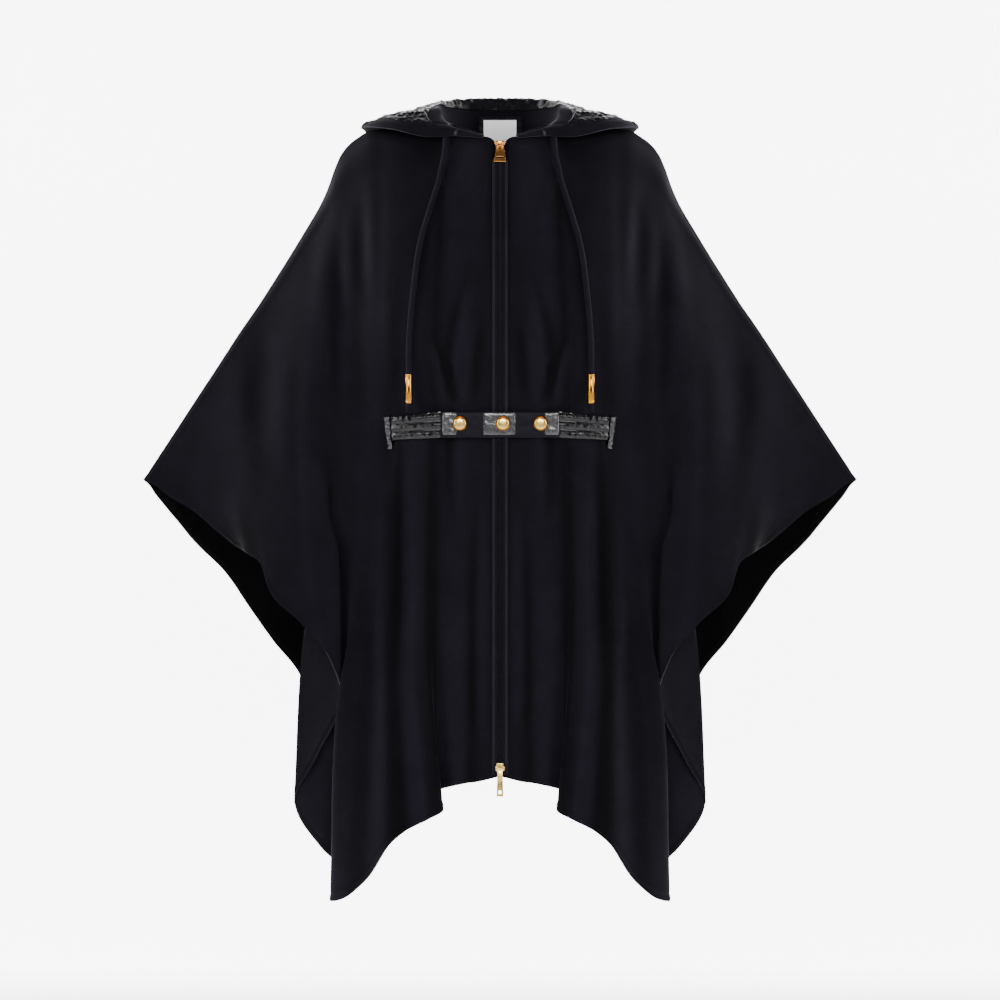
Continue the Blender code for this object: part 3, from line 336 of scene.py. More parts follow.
def smooth(knots, values, at):
    # A smooth curve through the values at the knots, read at the places in at
    knots = np.asarray(knots, float)
    values = np.asarray(values, float)
    at = np.asarray(at, float)
    step = np.diff(knots)
    shape = (-1,) + (1,) * (values.ndim - 1)
    rise = np.diff(values, axis=0) / step.reshape(shape)
    slope = np.empty_like(values)
    slope[0] = rise[0]
    slope[-1] = rise[-1]
    before = step[:-1].reshape(shape)
    after = step[1:].reshape(shape)
    slope[1:-1] = (after * rise[:-1] + before * rise[1:]) / (before + after)
    index = np.clip(np.searchsorted(knots, at, side="right") - 1, 0, len(step) - 1)
    width = step[index].reshape(shape)
    t = ((at - knots[index]) / step[index]).reshape(shape)
    return (
        values[index] * (2 * t**3 - 3 * t**2 + 1)
        + slope[index] * width * (t**3 - 2 * t**2 + t)
        + values[index + 1] * (3 * t**2 - 2 * t**3)
        + slope[index + 1] * width * (t**3 - t**2)
    )


def summed(lengths):
    # Where each point lies along a line, from the lengths between its points
    return np.concatenate([[0], np.cumsum(lengths)])


def runOf(points):
    return summed(np.linalg.norm(np.diff(points, axis=0), axis=1))


def unit(vectors):
    return vectors / np.maximum(np.linalg.norm(vectors, axis=-1, keepdims=True), 1e-12)


def bell(value, middle, width):
    return np.exp(-(((value - middle) / width) ** 2))


def fromEnd(grid, axis):
    # How far each point of a grid lies from the grid's last row or column, along the cloth
    lengths = np.linalg.norm(np.diff(grid, axis=axis), axis=2)
    left = np.flip(np.cumsum(np.flip(lengths, axis), axis=axis), axis)
    return np.concatenate([left, np.zeros_like(left.take([0], axis))], axis=axis)


def sideways(line):
    # The direction across a level line, at each of its points
    run = unit(np.gradient(line, axis=0))
    return np.stack([run[:, 1], -run[:, 0]], axis=1)


def forward(grid, amount):
    # The grid moved toward the viewer, by an amount for each of its points
    moved = grid.copy()
    moved[..., 1] -= amount
    return moved


def neckY(x, depth):
    return depth * np.sqrt(np.clip(1 - (np.asarray(x, float) / neckHalfWidth) ** 2, 0, 1))


def shoulderZ(x):
    rows = [row for row in frontFolds.values() if row[0] > neckHalfWidth]
    return np.interp(x, [row[0] for row in rows], [row[1] for row in rows])


def backSeamZ(x):
    neck = shoulderZ(neckHalfWidth) - backNeckDrop * np.clip(1 - (x / neckHalfWidth) ** 2, 0, 1)
    return np.where(x < neckHalfWidth, neck, shoulderZ(x))


def foldLines(rows, depth, side):
    # Points of each fold line at each level; side is -1 for the front and 1 for the back
    lines = []
    for row in rows:
        seamY = float(neckY(row["seamX"], depth))
        out = row["chestX"] - row["seamX"]
        xs = [row["seamX"], row["seamX"] + out * crownOut, row["seamX"] + out * topOut]
        xs += [row[column] for column in ("chestX", "waistX", "lowX", "hemX")]
        ys = [seamY, seamY + (row["topY"] - seamY) * crown]
        ys += [row[column] for column in ("topY", "chestY", "waistY", "lowY", "hemY")]
        zs = [row["seamZ"] + (row["hemZ"] - row["seamZ"]) * level for level in levels]
        lines.append([(x, side * y, z) for x, y, z in zip(xs, ys, zs)])
    return np.array(lines)


def frontLines():
    rows = [dict(zip(frontColumns, row)) for row in frontFolds.values()]
    return foldLines(rows, neckFrontDepth, -1)


def backLines():
    rows = []
    for row in backFolds.values():
        row = dict(zip(backColumns, row))
        row["seamZ"] = float(backSeamZ(row["seamX"]))
        rows.append(row)
    return foldLines(rows, neckBackDepth, 1)


def acrossKnots(lines):
    seam, hem = (np.linalg.norm(np.diff(lines[:, k], axis=0), axis=1) for k in (0, -1))
    return summed((seam + hem) / 2)


def clothGrid(lines, across, down):
    rows = smooth(acrossKnots(lines), lines, across)
    grid = smooth(levels, np.swapaxes(rows, 0, 1), down)
    return np.swapaxes(grid, 0, 1)


def gridNormals(grid, toward):
    normal = unit(np.cross(np.gradient(grid, axis=0), np.gradient(grid, axis=1)))
    return -normal if np.sum(normal * toward) < 0 else normal


def mirrored(grid, side):
    return grid * np.array([side, 1.0, 1.0])


def treeOf(grids):
    points, faces = [], []
    for grid in grids:
        columns, rows = grid.shape[:2]
        index = np.arange(columns * rows).reshape(columns, rows) + len(points)
        points += [tuple(point) for point in grid.reshape(-1, 3)]
        quads = np.stack([index[:-1, :-1], index[1:, :-1], index[1:, 1:], index[:-1, 1:]], axis=-1)
        faces += quads.reshape(-1, 4).tolist()
    return BVHTree.FromPolygons(points, faces)


def clearOf(tree, point, off, centre=Vector((0.0, 0.0, -0.25))):
    # The point, moved out until it stands off the surface in the tree
    point = Vector(point)
    for _ in range(4):
        nearest, normal = tree.find_nearest(point)[:2]
        if normal.dot(nearest - centre) < 0:
            normal = -normal
        height = (point - nearest).dot(normal)
        if height < off:
            point = point + normal * (off - height)
    return point


def frontY(tree, x, z):
    # Where a surface lies, seen from the front at x, z. Past the zip's edge the nearest cloth counts, and past
    # the top or the hem the nearest height that has cloth.
    for step in range(12):
        hit = tree.ray_cast(Vector((abs(x) + step * searchStep, -1, z)), Vector((0, 1, 0)))[0]
        if hit is not None:
            return hit.y
    return frontY(tree, x, z - searchDrop if z > panelMiddle else z + searchDrop)


def rough(points, scale, seed):
    # Soft noise from -1 to 1 at each point of a grid
    flat = np.asarray(points).reshape(-1, 3) * scale + seed
    found = [noise.noise(Vector(point)) for point in flat]
    return np.array(found).reshape(np.asarray(points).shape[:-1])


def creased(grid, normal, creases):
    # The grid with soft ridges and troughs raised along lines drawn in its x and z
    lift = np.zeros(grid.shape[:2])
    for row in creases:
        row = dict(zip(creaseColumns, row))
        t = np.linspace(0, 1, creasePieces + 1)
        xs = row["topX"] + (row["endX"] - row["topX"]) * t + row["bow"] * np.sin(np.pi * t)
        zs = row["topZ"] + (row["endZ"] - row["topZ"]) * t
        path = np.stack([xs, zs], axis=1)
        away = np.full(grid.shape[:2], 9.0)
        along = np.zeros(grid.shape[:2])
        for i in range(creasePieces):
            run = path[i + 1] - path[i]
            rel = grid[:, :, (0, 2)] - path[i]
            share = np.clip((rel @ run) / (run @ run), 0, 1)
            far = np.linalg.norm(rel - share[..., None] * run, axis=2)
            nearer = far < away
            away[nearer] = far[nearer]
            along[nearer] = (i + share[nearer]) / creasePieces
        width = row["width"] * (0.6 + 0.4 * np.sin(np.pi * along))
        ends = np.clip(np.minimum(along / row["fadeIn"], (1 - along) / row["fadeOut"]), 0, 1)
        lift += row["lift"] * bell(away, 0, width) * ends * ends * (3 - 2 * ends)
    return grid + normal * lift[..., None]


def placed(name, data):
    # A new object in the scene
    obj = bpy.data.objects.new(name, data)
    bpy.context.scene.collection.objects.link(obj)
    return obj


def fromBmesh(name, mesh):
    data = bpy.data.meshes.new(name)
    mesh.to_mesh(data)
    mesh.free()
    return placed(name, data)


def finished(obj, name, material, sharp=50, body="cape"):
    obj.name = name
    obj.data.name = name
    obj.data.materials.clear()
    obj.data.materials.append(material)
    obj.data.shade_smooth()
    obj.data.set_sharp_from_angle(angle=math.radians(sharp))
    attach(obj, body)
    return obj


def addMesh(name, points, faces, uvs, material, sharp=50):
    data = bpy.data.meshes.new(name)
    data.from_pydata(np.asarray(points).tolist(), [], faces)
    layer = data.uv_layers.new(name="cloth")
    loops = np.zeros(len(data.loops), dtype=np.int32)
    data.loops.foreach_get("vertex_index", loops)
    layer.data.foreach_set("uv", np.asarray(uvs, np.float32)[loops].ravel())
    return finished(placed(name, data), name, material, sharp)


def joined(parts, name, material, sharp=80, body="cape"):
    mesh = bmesh.new()
    for part in parts:
        mesh.from_mesh(part.data)
        bpy.data.objects.remove(part)
    return finished(fromBmesh(name, mesh), name, material, sharp, body)


def flatPlaces(grid):
    # Where each point of a grid lies across and down the cloth, in metres, for its weave
    across = np.linalg.norm(np.diff(grid, axis=0), axis=2).mean(axis=1)
    down = np.linalg.norm(np.diff(grid, axis=1), axis=2).mean(axis=0)
    return np.stack(np.meshgrid(summed(across), summed(down), indexing="ij"), axis=-1)


def spanned(points, quads):
    # How much space a wall of quads spans with the origin, measured by one triangle of each
    a, b, c = (points[quads[:, k]] for k in range(3))
    return np.einsum("ij,ij->i", a, np.cross(b, c)).sum()


def shell(name, outer, inner, material, leftOut=None, sharp=50, edge=None, inside=None, nap=None):
    # A closed wall between two grids. The cells in leftOut stay open; the rim and the inner face may have
    # materials of their own, such as a lighter wool on the rim for a painted highlight and a darker one inside
    # for painted shade.
    columns, rows = outer.shape[:2]
    count = columns * rows
    index = np.arange(count).reshape(columns, rows)
    corners = np.stack([index[:-1, :-1], index[1:, :-1], index[1:, 1:], index[:-1, 1:]], axis=-1)
    quads = corners[np.ones(corners.shape[:2], bool) if leftOut is None else ~leftOut]
    edges = np.concatenate([quads[:, (k, (k + 1) % 4)] for k in range(4)]).tolist()
    seen = {tuple(pair) for pair in edges}
    faces = quads.tolist() + (quads[:, ::-1] + count).tolist()
    faces += [[b, a, a + count, b + count] for a, b in edges if (b, a) not in seen]
    points = np.concatenate([outer.reshape(-1, 3), inner.reshape(-1, 3)])
    if spanned(points, quads) < spanned(points, quads + count):
        faces = [face[::-1] for face in faces]
    flat = flatPlaces(outer).reshape(-1, 2)
    obj = addMesh(name, points, faces, np.concatenate([flat, flat + insideShift]), material, sharp)
    if edge is not None:
        obj.data.materials.append(edge)
        kinds = np.zeros(len(faces), np.int32)
        kinds[2 * len(quads):] = 1
        if inside is not None:
            obj.data.materials.append(inside)
            kinds[len(quads):2 * len(quads)] = 2
        obj.data.polygons.foreach_set("material_index", kinds)
    # A painted light and shade value at each point of the outer face, read by the wool's colour
    if nap is not None:
        values = np.concatenate([nap.ravel(), np.zeros(count)]).astype(np.float32)
        obj.data.attributes.new("nap", "FLOAT", "POINT").data.foreach_set("value", values)
    loose = set(range(len(points))) - {i for face in faces for i in face}
    if loose:
        mesh = bmesh.new()
        mesh.from_mesh(obj.data)
        mesh.verts.ensure_lookup_table()
        bmesh.ops.delete(mesh, geom=[mesh.verts[i] for i in loose], context="VERTS")
        mesh.to_mesh(obj.data)
        mesh.free()
    return obj


def stands(obj, node, slot):
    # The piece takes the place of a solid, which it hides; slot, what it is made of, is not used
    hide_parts(node)
    return obj


def piece(name, node, slot, outer, inner, material, side=1, **more):
    # A shell in the place of a solid; with side -1 it is mirrored to the left
    return stands(shell(name, mirrored(outer, side), mirrored(inner, side), material, **more), node, slot)


# Materials

def nodeMaterial(name, colour, roughness, metallic=0.0, sockets=None):
    material = bpy.data.materials.new(name)
    material.use_nodes = True
    tree = material.node_tree
    shader = tree.nodes["Principled BSDF"]
    shader.inputs["Base Color"].default_value = (*colour, 1.0)
    shader.inputs["Roughness"].default_value = roughness
    shader.inputs["Metallic"].default_value = metallic
    for socket, value in (sockets or {}).items():
        shader.inputs[socket].default_value = value
    return material, tree, shader


def place(tree, kind="Object"):
    return tree.nodes.new("ShaderNodeTexCoord").outputs[kind]


def texture(tree, kind, vector, output="Fac", **values):
    node = tree.nodes.new("ShaderNodeTex" + kind)
    for key, value in values.items():
        if key in node.inputs:
            node.inputs[key].default_value = value
        else:
            setattr(node, key, value)
    tree.links.new(vector, node.inputs["Vector"])
    return node.outputs[output]


def computed(tree, kind, operation, *values):
    # The result of a maths node; a value is a socket to read, a plain value, or None to leave it as it is
    node = tree.nodes.new("ShaderNode" + kind)
    node.operation = operation
    for socket, value in zip(node.inputs, values):
        if isinstance(value, bpy.types.NodeSocket):
            tree.links.new(value, socket)
        elif value is not None:
            socket.default_value = value
    return node.outputs[0]


def ramp(tree, factor, stops):
    node = tree.nodes.new("ShaderNodeValToRGB")
    node.color_ramp.elements.remove(node.color_ramp.elements[-1])
    for i, (at, colour) in enumerate(stops):
        stop = node.color_ramp.elements[0] if i == 0 else node.color_ramp.elements.new(at)
        stop.position = at
        stop.color = (*colour, 1.0)
    tree.links.new(factor, node.inputs["Fac"])
    return node.outputs["Color"]


def spread(tree, factor, low, high, start=0.0, end=1.0):
    node = tree.nodes.new("ShaderNodeMapRange")
    for socket, value in (("From Min", start), ("From Max", end), ("To Min", low), ("To Max", high)):
        node.inputs[socket].default_value = value
    tree.links.new(factor, node.inputs["Value"])
    return node.outputs["Result"]


def bump(tree, height, strength, distance, under=None):
    node = tree.nodes.new("ShaderNodeBump")
    node.inputs["Strength"].default_value = strength
    node.inputs["Distance"].default_value = distance
    tree.links.new(height, node.inputs["Height"])
    if under is not None:
        tree.links.new(under, node.inputs["Normal"])
    return node.outputs["Normal"]


def scaled(tree, vector, scale, turn=(0, 0, 0)):
    node = tree.nodes.new("ShaderNodeMapping")
    node.inputs["Scale"].default_value = scale
    node.inputs["Rotation"].default_value = turn
    tree.links.new(vector, node.inputs["Vector"])
    return node.outputs["Vector"]


def makeWool(name, dark, light, sheen):
    # Brushed wool: short fibres lying mostly down the cloth, slightly mottled
    material, tree, shader = nodeMaterial(name, dark, 0.86, 0.0, {
        "Sheen Weight": sheen, "Sheen Roughness": 0.40, "Sheen Tint": (0.62, 0.56, 0.84, 1.0),
        "Specular IOR Level": 0.06,
    })
    here = place(tree)
    combed = scaled(tree, place(tree, "UV"), (1900, 620, 1))
    fibres = texture(tree, "Noise", combed, Scale=1.0, Detail=3.0, Roughness=0.65)
    clumps = texture(tree, "Noise", here, Scale=210.0, Detail=3.0, Roughness=0.6)
    mottle = texture(tree, "Noise", here, Scale=26.0, Detail=4.0, Roughness=0.55)
    mixed = tree.nodes.new("ShaderNodeMix")
    mixed.inputs["Factor"].default_value = 0.35
    tree.links.new(fibres, mixed.inputs["A"])
    tree.links.new(mottle, mixed.inputs["B"])
    colour = ramp(tree, mixed.outputs["Result"], ((0.32, dark), (0.68, light)))
    # Painted light and shade: the colour is made lighter on the outer flank of a fold, where it leans
    # out, and darker on the inner one
    lean = tree.nodes.new("ShaderNodeAttribute")
    lean.attribute_name = "nap"
    shadeFactor = computed(tree, "Math", "ADD", lean.outputs["Fac"], 1.0)
    shadedColour = computed(tree, "VectorMath", "SCALE", colour, None, None, shadeFactor)
    tree.links.new(shadedColour, shader.inputs["Base Color"])
    soft = bump(tree, clumps, 0.30, 0.0008)
    tree.links.new(bump(tree, fibres, 0.35, 0.0003, soft), shader.inputs["Normal"])
    return material


def makeNylon(name, colour, roughness, folding, specular=0.6, coat=0.0, fine=(0.27, 0.0009)):
    # Thin glossy nylon, crumpled, with a fine plain weave
    material, tree, shader = nodeMaterial(name, colour, roughness, 0.0, {
        "Specular IOR Level": specular, "Coat Weight": coat, "Coat Roughness": 0.18,
    })
    here = place(tree)
    warp = texture(tree, "Noise", here, "Color", Scale=38.0, Detail=3.0)
    moved = computed(tree, "VectorMath", "MULTIPLY_ADD", warp, (0.02, 0.02, 0.02), here)
    folds = texture(tree, "Voronoi", moved, "Distance", Scale=95.0, feature="SMOOTH_F1", Smoothness=0.35)
    small = texture(tree, "Noise", here, Scale=330.0, Detail=3.0)
    weave = texture(tree, "Noise", here, Scale=2600.0, Detail=1.0)
    dulled = spread(tree, small, roughness - 0.07, roughness + 0.12)
    tree.links.new(dulled, shader.inputs["Roughness"])
    big = bump(tree, folds, folding, 0.004)
    mid = bump(tree, small, *fine, big)
    tree.links.new(bump(tree, weave, 0.12, 0.0002, mid), shader.inputs["Normal"])
    return material


def makeMetal(name, colour, roughness, rim=(1, 1, 1)):
    # Polished plated brass, with faint brushing and smudges; rim is its colour where it turns away
    material, tree, shader = nodeMaterial(name, colour, roughness, 1.0, {"Specular Tint": (*rim, 1.0)})
    here = place(tree)
    brushed = texture(tree, "Noise", scaled(tree, here, (4200, 4200, 700)), Scale=1.0, Detail=2.0)
    smudge = texture(tree, "Noise", here, Scale=320.0, Detail=3.0)
    dulled = spread(tree, smudge, roughness - 0.06, roughness + 0.10)
    tree.links.new(dulled, shader.inputs["Roughness"])
    dark = tuple(part * 0.72 for part in colour)
    tree.links.new(ramp(tree, smudge, ((0.25, dark), (0.5, colour))), shader.inputs["Base Color"])
    tree.links.new(bump(tree, brushed, 0.08, 0.0001), shader.inputs["Normal"])
    return material


def crossing(tree, shader, operation, strands, stops, strength, depth):
    # Colours and raises a weave where two sets of strands cross
    crossed = computed(tree, "Math", operation, *strands)
    tree.links.new(ramp(tree, crossed, stops), shader.inputs["Base Color"])
    tree.links.new(bump(tree, crossed, strength, depth), shader.inputs["Normal"])


def makeWoven(name, dark, light, roughness, pitch):
    # A plain woven tape or label
    material, tree, shader = nodeMaterial(name, dark, roughness)
    flat = place(tree, "UV")
    threads = [
        texture(tree, "Wave", flat, Scale=1 / pitch, bands_direction=axis, Distortion=0.4) for axis in "XY"
    ]
    crossing(tree, shader, "MULTIPLY", threads, ((0.1, dark), (0.8, light)), 0.4, 0.0003)
    return material


def makeCordMaterial():
    # A round braid: two sets of strands that cross as they wind round
    material, tree, shader = nodeMaterial("braided cord", (0.004, 0.004, 0.005), 0.72, 0.0, {
        "Sheen Weight": 0.02, "Sheen Roughness": 0.4, "Sheen Tint": (0.62, 0.64, 0.75, 1.0),
        "Specular IOR Level": 0.05,
    })
    flat = place(tree, "UV")
    strands = []
    for turn in (0.9, -0.9):
        turned = scaled(tree, flat, (1, 1, 1), (0, 0, turn))
        strands.append(texture(tree, "Wave", turned, Scale=150.0, bands_direction="X"))
    stops = ((0.2, (0.0009, 0.0007, 0.0018)), (0.9, (0.0062, 0.0054, 0.0098)))
    crossing(tree, shader, "MAXIMUM", strands, stops, 0.7, 0.0009)
    return material


wool = makeWool("brushed wool", (0.0017, 0.0014, 0.0028), (0.0042, 0.0036, 0.0060), 0.018)
# Darker wool without sheen for the inner face of the back: painted shade inside the cape
shadedWoolInside = makeWool("wool inside with painted shade", (0.0002, 0.0002, 0.0004), (0.0007, 0.0006, 0.0011), 0.0)
# Lighter wool for the ridge of each zip welt: a painted highlight where the ridge catches the side lamps
litRidgeWool = makeWool("welt ridge with painted highlight", (0.0058, 0.0052, 0.0080), (0.0125, 0.0115, 0.0160), 0.03)
# Lighter wool for the cut edges of the panels and the hood: a painted highlight along each edge
litEdgeWool = makeWool("wool edge with painted highlight", (0.0150, 0.0140, 0.0185), (0.0330, 0.0310, 0.0385), 0.06)
nylon = makeNylon("crumpled nylon", (0.0048, 0.0046, 0.0062), 0.27, 0.45, 0.055)
nylonFlat = makeNylon("flat nylon", (0.0034, 0.0030, 0.0058), 0.46, 0.14, 0.08, fine=(0.08, 0.0009))
nylonPanel = makeNylon("glossy panel", (0.0200, 0.0198, 0.0215), 0.24, 0.25, 0.6, 0.5)
nylonGather = makeNylon("gathered nylon", (0.0010, 0.0009, 0.0017), 0.11, 0.04, 0.40, fine=(0.25, 0.0006))
nylonWelt = makeNylon("nylon welt", (0.0080, 0.0080, 0.0095), 0.17, 0.30, 0.6, fine=(0.8, 0.0012))
brass = makeMetal("pale brass", (0.80, 0.55, 0.17), 0.25, (0.85, 0.45, 0.10))
goldBrass = makeMetal("gold brass", (0.46, 0.21, 0.025), 0.15, (0.40, 0.12, 0.010))
copperBrass = makeMetal("reddish brass", (0.46, 0.20, 0.055), 0.20, (0.40, 0.13, 0.03))
toothMetal = makeMetal("dark metal", (0.011, 0.011, 0.013), 0.48)
tapeWeave = makeWoven("zip tape weave", (0.002, 0.002, 0.003), (0.006, 0.006, 0.008), 0.8, 0.0009)
labelWeave = makeWoven("white label weave", (0.93, 0.93, 0.95), (1.0, 1.0, 1.0), 0.6, 0.0006)
cordBraid = makeCordMaterial()
print("materials made")


# Camera, from straight in front and far away, as the photograph was taken

viewHeight = -0.4525
viewDistance = 20.0
viewWidth = 1.25
camera = bpy.data.cameras.new("camera")
camera.sensor_width = 36
camera.lens = camera.sensor_width * viewDistance / viewWidth
camera.clip_end = 100
cameraObject = placed("camera", camera)
cameraObject.location = (0, -viewDistance, viewHeight)
cameraObject.rotation_euler = (math.radians(90), 0, 0)
bpy.context.scene.camera = cameraObject


# Cords

def tubeMesh(name, points, radius, material, around=20):
    # A round tube along the points, closed at both ends, with its places along and round it as UV
    points = np.asarray(points)
    run = unit(np.gradient(points, axis=0))
    across = unit(np.cross(run, (0, 1, 0)))
    other = np.cross(run, across)
    turn = np.linspace(0, 2 * np.pi, around, endpoint=False)
    rings = points[:, None] + radius * (
        across[:, None] * np.cos(turn)[None, :, None] + other[:, None] * np.sin(turn)[None, :, None]
    )
    count = len(points)
    index = np.arange(count * around).reshape(count, around)
    faces = []
    for j in range(around):
        k = (j + 1) % around
        faces += np.stack([index[:-1, j], index[:-1, k], index[1:, k], index[1:, j]], axis=-1).tolist()
    faces += [index[0, ::-1].tolist(), index[-1].tolist()]
    uvs = np.stack(np.meshgrid(runOf(points), turn * radius, indexing="ij"), axis=-1).reshape(-1, 2)
    obj = addMesh(name, rings.reshape(-1, 3), faces, uvs, material)
    mesh = bmesh.new()
    mesh.from_mesh(obj.data)
    bmesh.ops.recalc_face_normals(mesh, faces=mesh.faces)
    mesh.to_mesh(obj.data)
    mesh.free()
    return obj


def latheMesh(name, profile, centre, material, around=40, upright=True):
    # A turned piece: the profile gives the radius and the height along the axis, from one end to the other
    mesh = bmesh.new()
    rings = []
    for radius, height in profile:
        ring = []
        for i in range(around):
            turn = 2 * math.pi * i / around
            a, b = radius * math.cos(turn), radius * math.sin(turn)
            point = (a, b, height) if upright else (a, -height, b)
            ring.append(mesh.verts.new(Vector(point) + Vector(centre)))
        rings.append(ring)
    for low, high in zip(rings, rings[1:]):
        for i in range(around):
            k = (i + 1) % around
            mesh.faces.new((low[i], low[k], high[k], high[i]))
    bmesh.ops.remove_doubles(mesh, verts=mesh.verts, dist=sameSpot)
    for ring in (rings[0], rings[-1]):
        alive = [vert for vert in ring if vert.is_valid]
        if len(alive) == around:
            mesh.faces.new(alive)
    bmesh.ops.recalc_face_normals(mesh, faces=mesh.faces)
    return finished(fromBmesh(name, mesh), name, material, 35)


def cordPath(tree):
    route = np.array(cordRoute)
    off = cordDiameter / 2 + cordClearance
    for i in range(1, len(route)):
        route[i, 1] = min(route[i, 1], frontY(tree, route[i, 0], route[i, 2]) - off)
    route[-1, :2] = route[-2, :2]
    length = runOf(route)
    points = smooth(length, route, np.linspace(0, length[-1], 24))
    points[1:] = [clearOf(tree, point, off) for point in points[1:]]
    points[-1, :2] = points[-2, :2]
    return points


def tipProfile():
    # A thin tube, open at both ends, with a groove round it near each end
    radius = tipDiameter / 2
    wall = radius - tipWall
    groove = radius - tipGroove
    rim = (
        (wall + 0.0002, 0.0), (radius - 0.0003, 0.0), (radius, 0.0005), (radius, 0.0022),
        (groove, 0.0026), (groove, 0.0032), (radius, 0.0036),
    )
    profile = [(wall, -0.004), (wall, -0.0001)]
    profile += [(out, -down) for out, down in rim]
    profile += [(out, down - tipLength) for out, down in reversed(rim)]
    return profile + [(wall, 0.0003 - tipLength), (wall, 0.004 - tipLength)]


def makeCords(tree):
    path = cordPath(tree)
    length = runOf(path)
    fine = smooth(length, path, np.linspace(0, length[-1], 110))
    for name, side in sides:
        flip = np.array([side, 1, 1])
        cord = tubeMesh("cord_" + name, fine * flip, cordDiameter / 2, cordBraid)
        top = (fine[-1] + np.array([0, 0, -gap])) * flip
        tip = stands(latheMesh("tip_" + name, tipProfile(), top, goldBrass), "cord_tip_" + name, "brass")
        start = top + np.array([0, 0, -tipLength - gap])
        knots = start + np.outer(np.linspace(0, 1, 8), (0.0006 * side, -0.0004, -cordEndLength))
        end = tubeMesh("cordEnd_" + name, knots, cordDiameter * 0.42, cordBraid)
        stands(end, "cord_end_" + name, "cord")
        stands(cord, "drawcord_" + name, "cord")
        [tuple(point) for point in fine * flip]


# Fronts and back

def edgeTurn(outer, normal):
    # Turned cloth edges: a soft ridge along the hem and the side, and a shallow line of sewing behind it
    away = np.minimum(fromEnd(outer, 1), fromEnd(outer, 0))
    lift = edgeRidge * bell(away, ridgePlace, ridgeWidth) - edgeSewing * bell(away, sewingPlace, sewingWidth)
    return outer + normal * lift[..., None]


def steps(total, size, first, last):
    # Even steps of about a size, with closer ones given for the two ends
    count = max(2, round(total / size))
    low = first[-1] + size * 0.5 if first else 0
    high = total - (last[-1] + size * 0.5)
    inside = [p for p in np.linspace(0, total, count + 1) if low < p < high]
    return np.array([0.0, *first, *inside, *[total - p for p in reversed(last)], total])


def withLines(places, extra):
    # The places with two more among them, and none close beside these
    kept = [p for p in places if min(abs(p - line) for line in extra) > 0.002]
    return np.array(sorted(kept + list(extra)))


def frontAcross(x, z):
    # The place across the front, and down it, where a height crosses a distance from the centre line
    lines = frontLines()
    knots = acrossKnots(lines)
    fine = np.linspace(0, knots[-1], 1200)
    rows = smooth(knots, lines, fine)
    level = (rows[:, 0, 2] - z) / (rows[:, 0, 2] - rows[:, -1, 2])
    here = np.array([smooth(levels, rows[i], [level[i]])[0, 0] for i in range(400)])
    found = int(np.argmax(here > x))
    return fine[found], level[found]


def leaning(z):
    # How far down the belt slit a height lies, from 0 at its top to 1 at its bottom, fading out below
    share = np.clip((slitTop - z) / (slitTop - slitBottom), 0, 1)
    return share * bell(np.clip(slitBottom - z, 0, 1), 0, slitFade)


def softened(grid, down):
    # Evens the cloth out above the deep fold at the side, where it hangs in one soft layer
    share = np.clip((foldStart - np.asarray(down)) / foldFade, 0, 1)
    weight = 0.5 * share[None, :, None] * bell(grid[..., :1], foldPlace, foldReach)
    for _ in range(foldRounds):
        grid[1:-1] += weight[1:-1] * ((grid[:-2] + grid[2:]) / 2 - grid[1:-1])
    return grid


def napOf(grid, normal):
    # Painted light and shade for the wool's colour: how far the cloth at each point leans out from the
    # centre, against the cloth around it, and a painted shadow darkening the corner of the wing
    lean = normal[..., 0]
    window = 2 * napReach + 1
    padded = np.pad(lean, ((napReach, napReach), (0, 0)), "edge")
    total = np.pad(np.cumsum(padded, axis=0), ((1, 0), (0, 0)))
    mean = (total[window:] - total[:-window]) / window
    # A painted shadow darkening the corner of the wing
    (x, z), (wide, tall) = shadedCornerPlace, shadedCornerSize
    dark = bell(grid[..., 0], x, wide) * bell(grid[..., 2], z, tall)
    return np.clip(napDepth * (lean - mean), *napLimits) - shadedCornerDepth * dark


def wallOf(outer, normal, side):
    # The outer and the inner face of a panel, cut straight at the shoulder seam; each keeps to its side of it
    normal[np.abs(outer[:, 0, 0]) > neckHalfWidth, 0, 1] = 0
    normal[:, 0] = unit(normal[:, 0])
    outer[..., 1] = side * np.maximum(side * outer[..., 1], gap / 2)
    inner = outer - normal * cloth
    inner[..., 1] = side * np.maximum(side * inner[..., 1], gap / 2)
    return outer, inner


def frontSurface():
    lines = frontLines()
    slitMiddle = (slitInner + slitOuter) / 2
    levelTop, levelLow = (frontAcross(slitMiddle, z)[1] for z in (slitTop, slitBottom))
    slitIn, slitOut = (frontAcross(x, beltZ)[0] for x in (slitInner, slitOuter))
    across = withLines(steps(acrossKnots(lines)[-1], clothCell, (), edgePlaces), (slitIn, slitOut))
    down = steps(frontLength, clothCell, topPlaces, edgePlaces) / frontLength
    down = withLines(down, (levelTop, levelLow))
    outer = clothGrid(lines, across, down)
    outer[..., 0] -= slitLean * bell(outer[..., 0], slitMiddle, slitReach) * leaning(outer[..., 2])
    outer = softened(outer, down)
    outer = creased(outer, gridNormals(outer, (0, -1, 0)), frontCreases)
    normal = gridNormals(outer, (0, -1, 0))
    # Painted light and shade on the folds, kept at each point for the wool's colour
    nap = napOf(outer, normal)
    outer, inner = wallOf(edgeTurn(outer, normal), normal, -1)
    a, b = np.meshgrid(across[:-1], down[:-1], indexing="ij")
    tiny = 1e-9
    leftOut = (a >= slitIn - tiny) & (a < slitOut - tiny) & (b >= levelTop - tiny) & (b < levelLow - tiny)
    return outer, inner, leftOut, nap


def makeFronts(surface):
    outer, inner, leftOut, nap = surface
    for name, side in sides:
        # The cut edges take a lighter wool, a painted highlight, and the folds carry painted light and shade
        obj = piece("front_cloth_" + name, "front_" + name, "wool", outer, inner, wool, side,
                    leftOut=leftOut, edge=litEdgeWool, nap=nap)


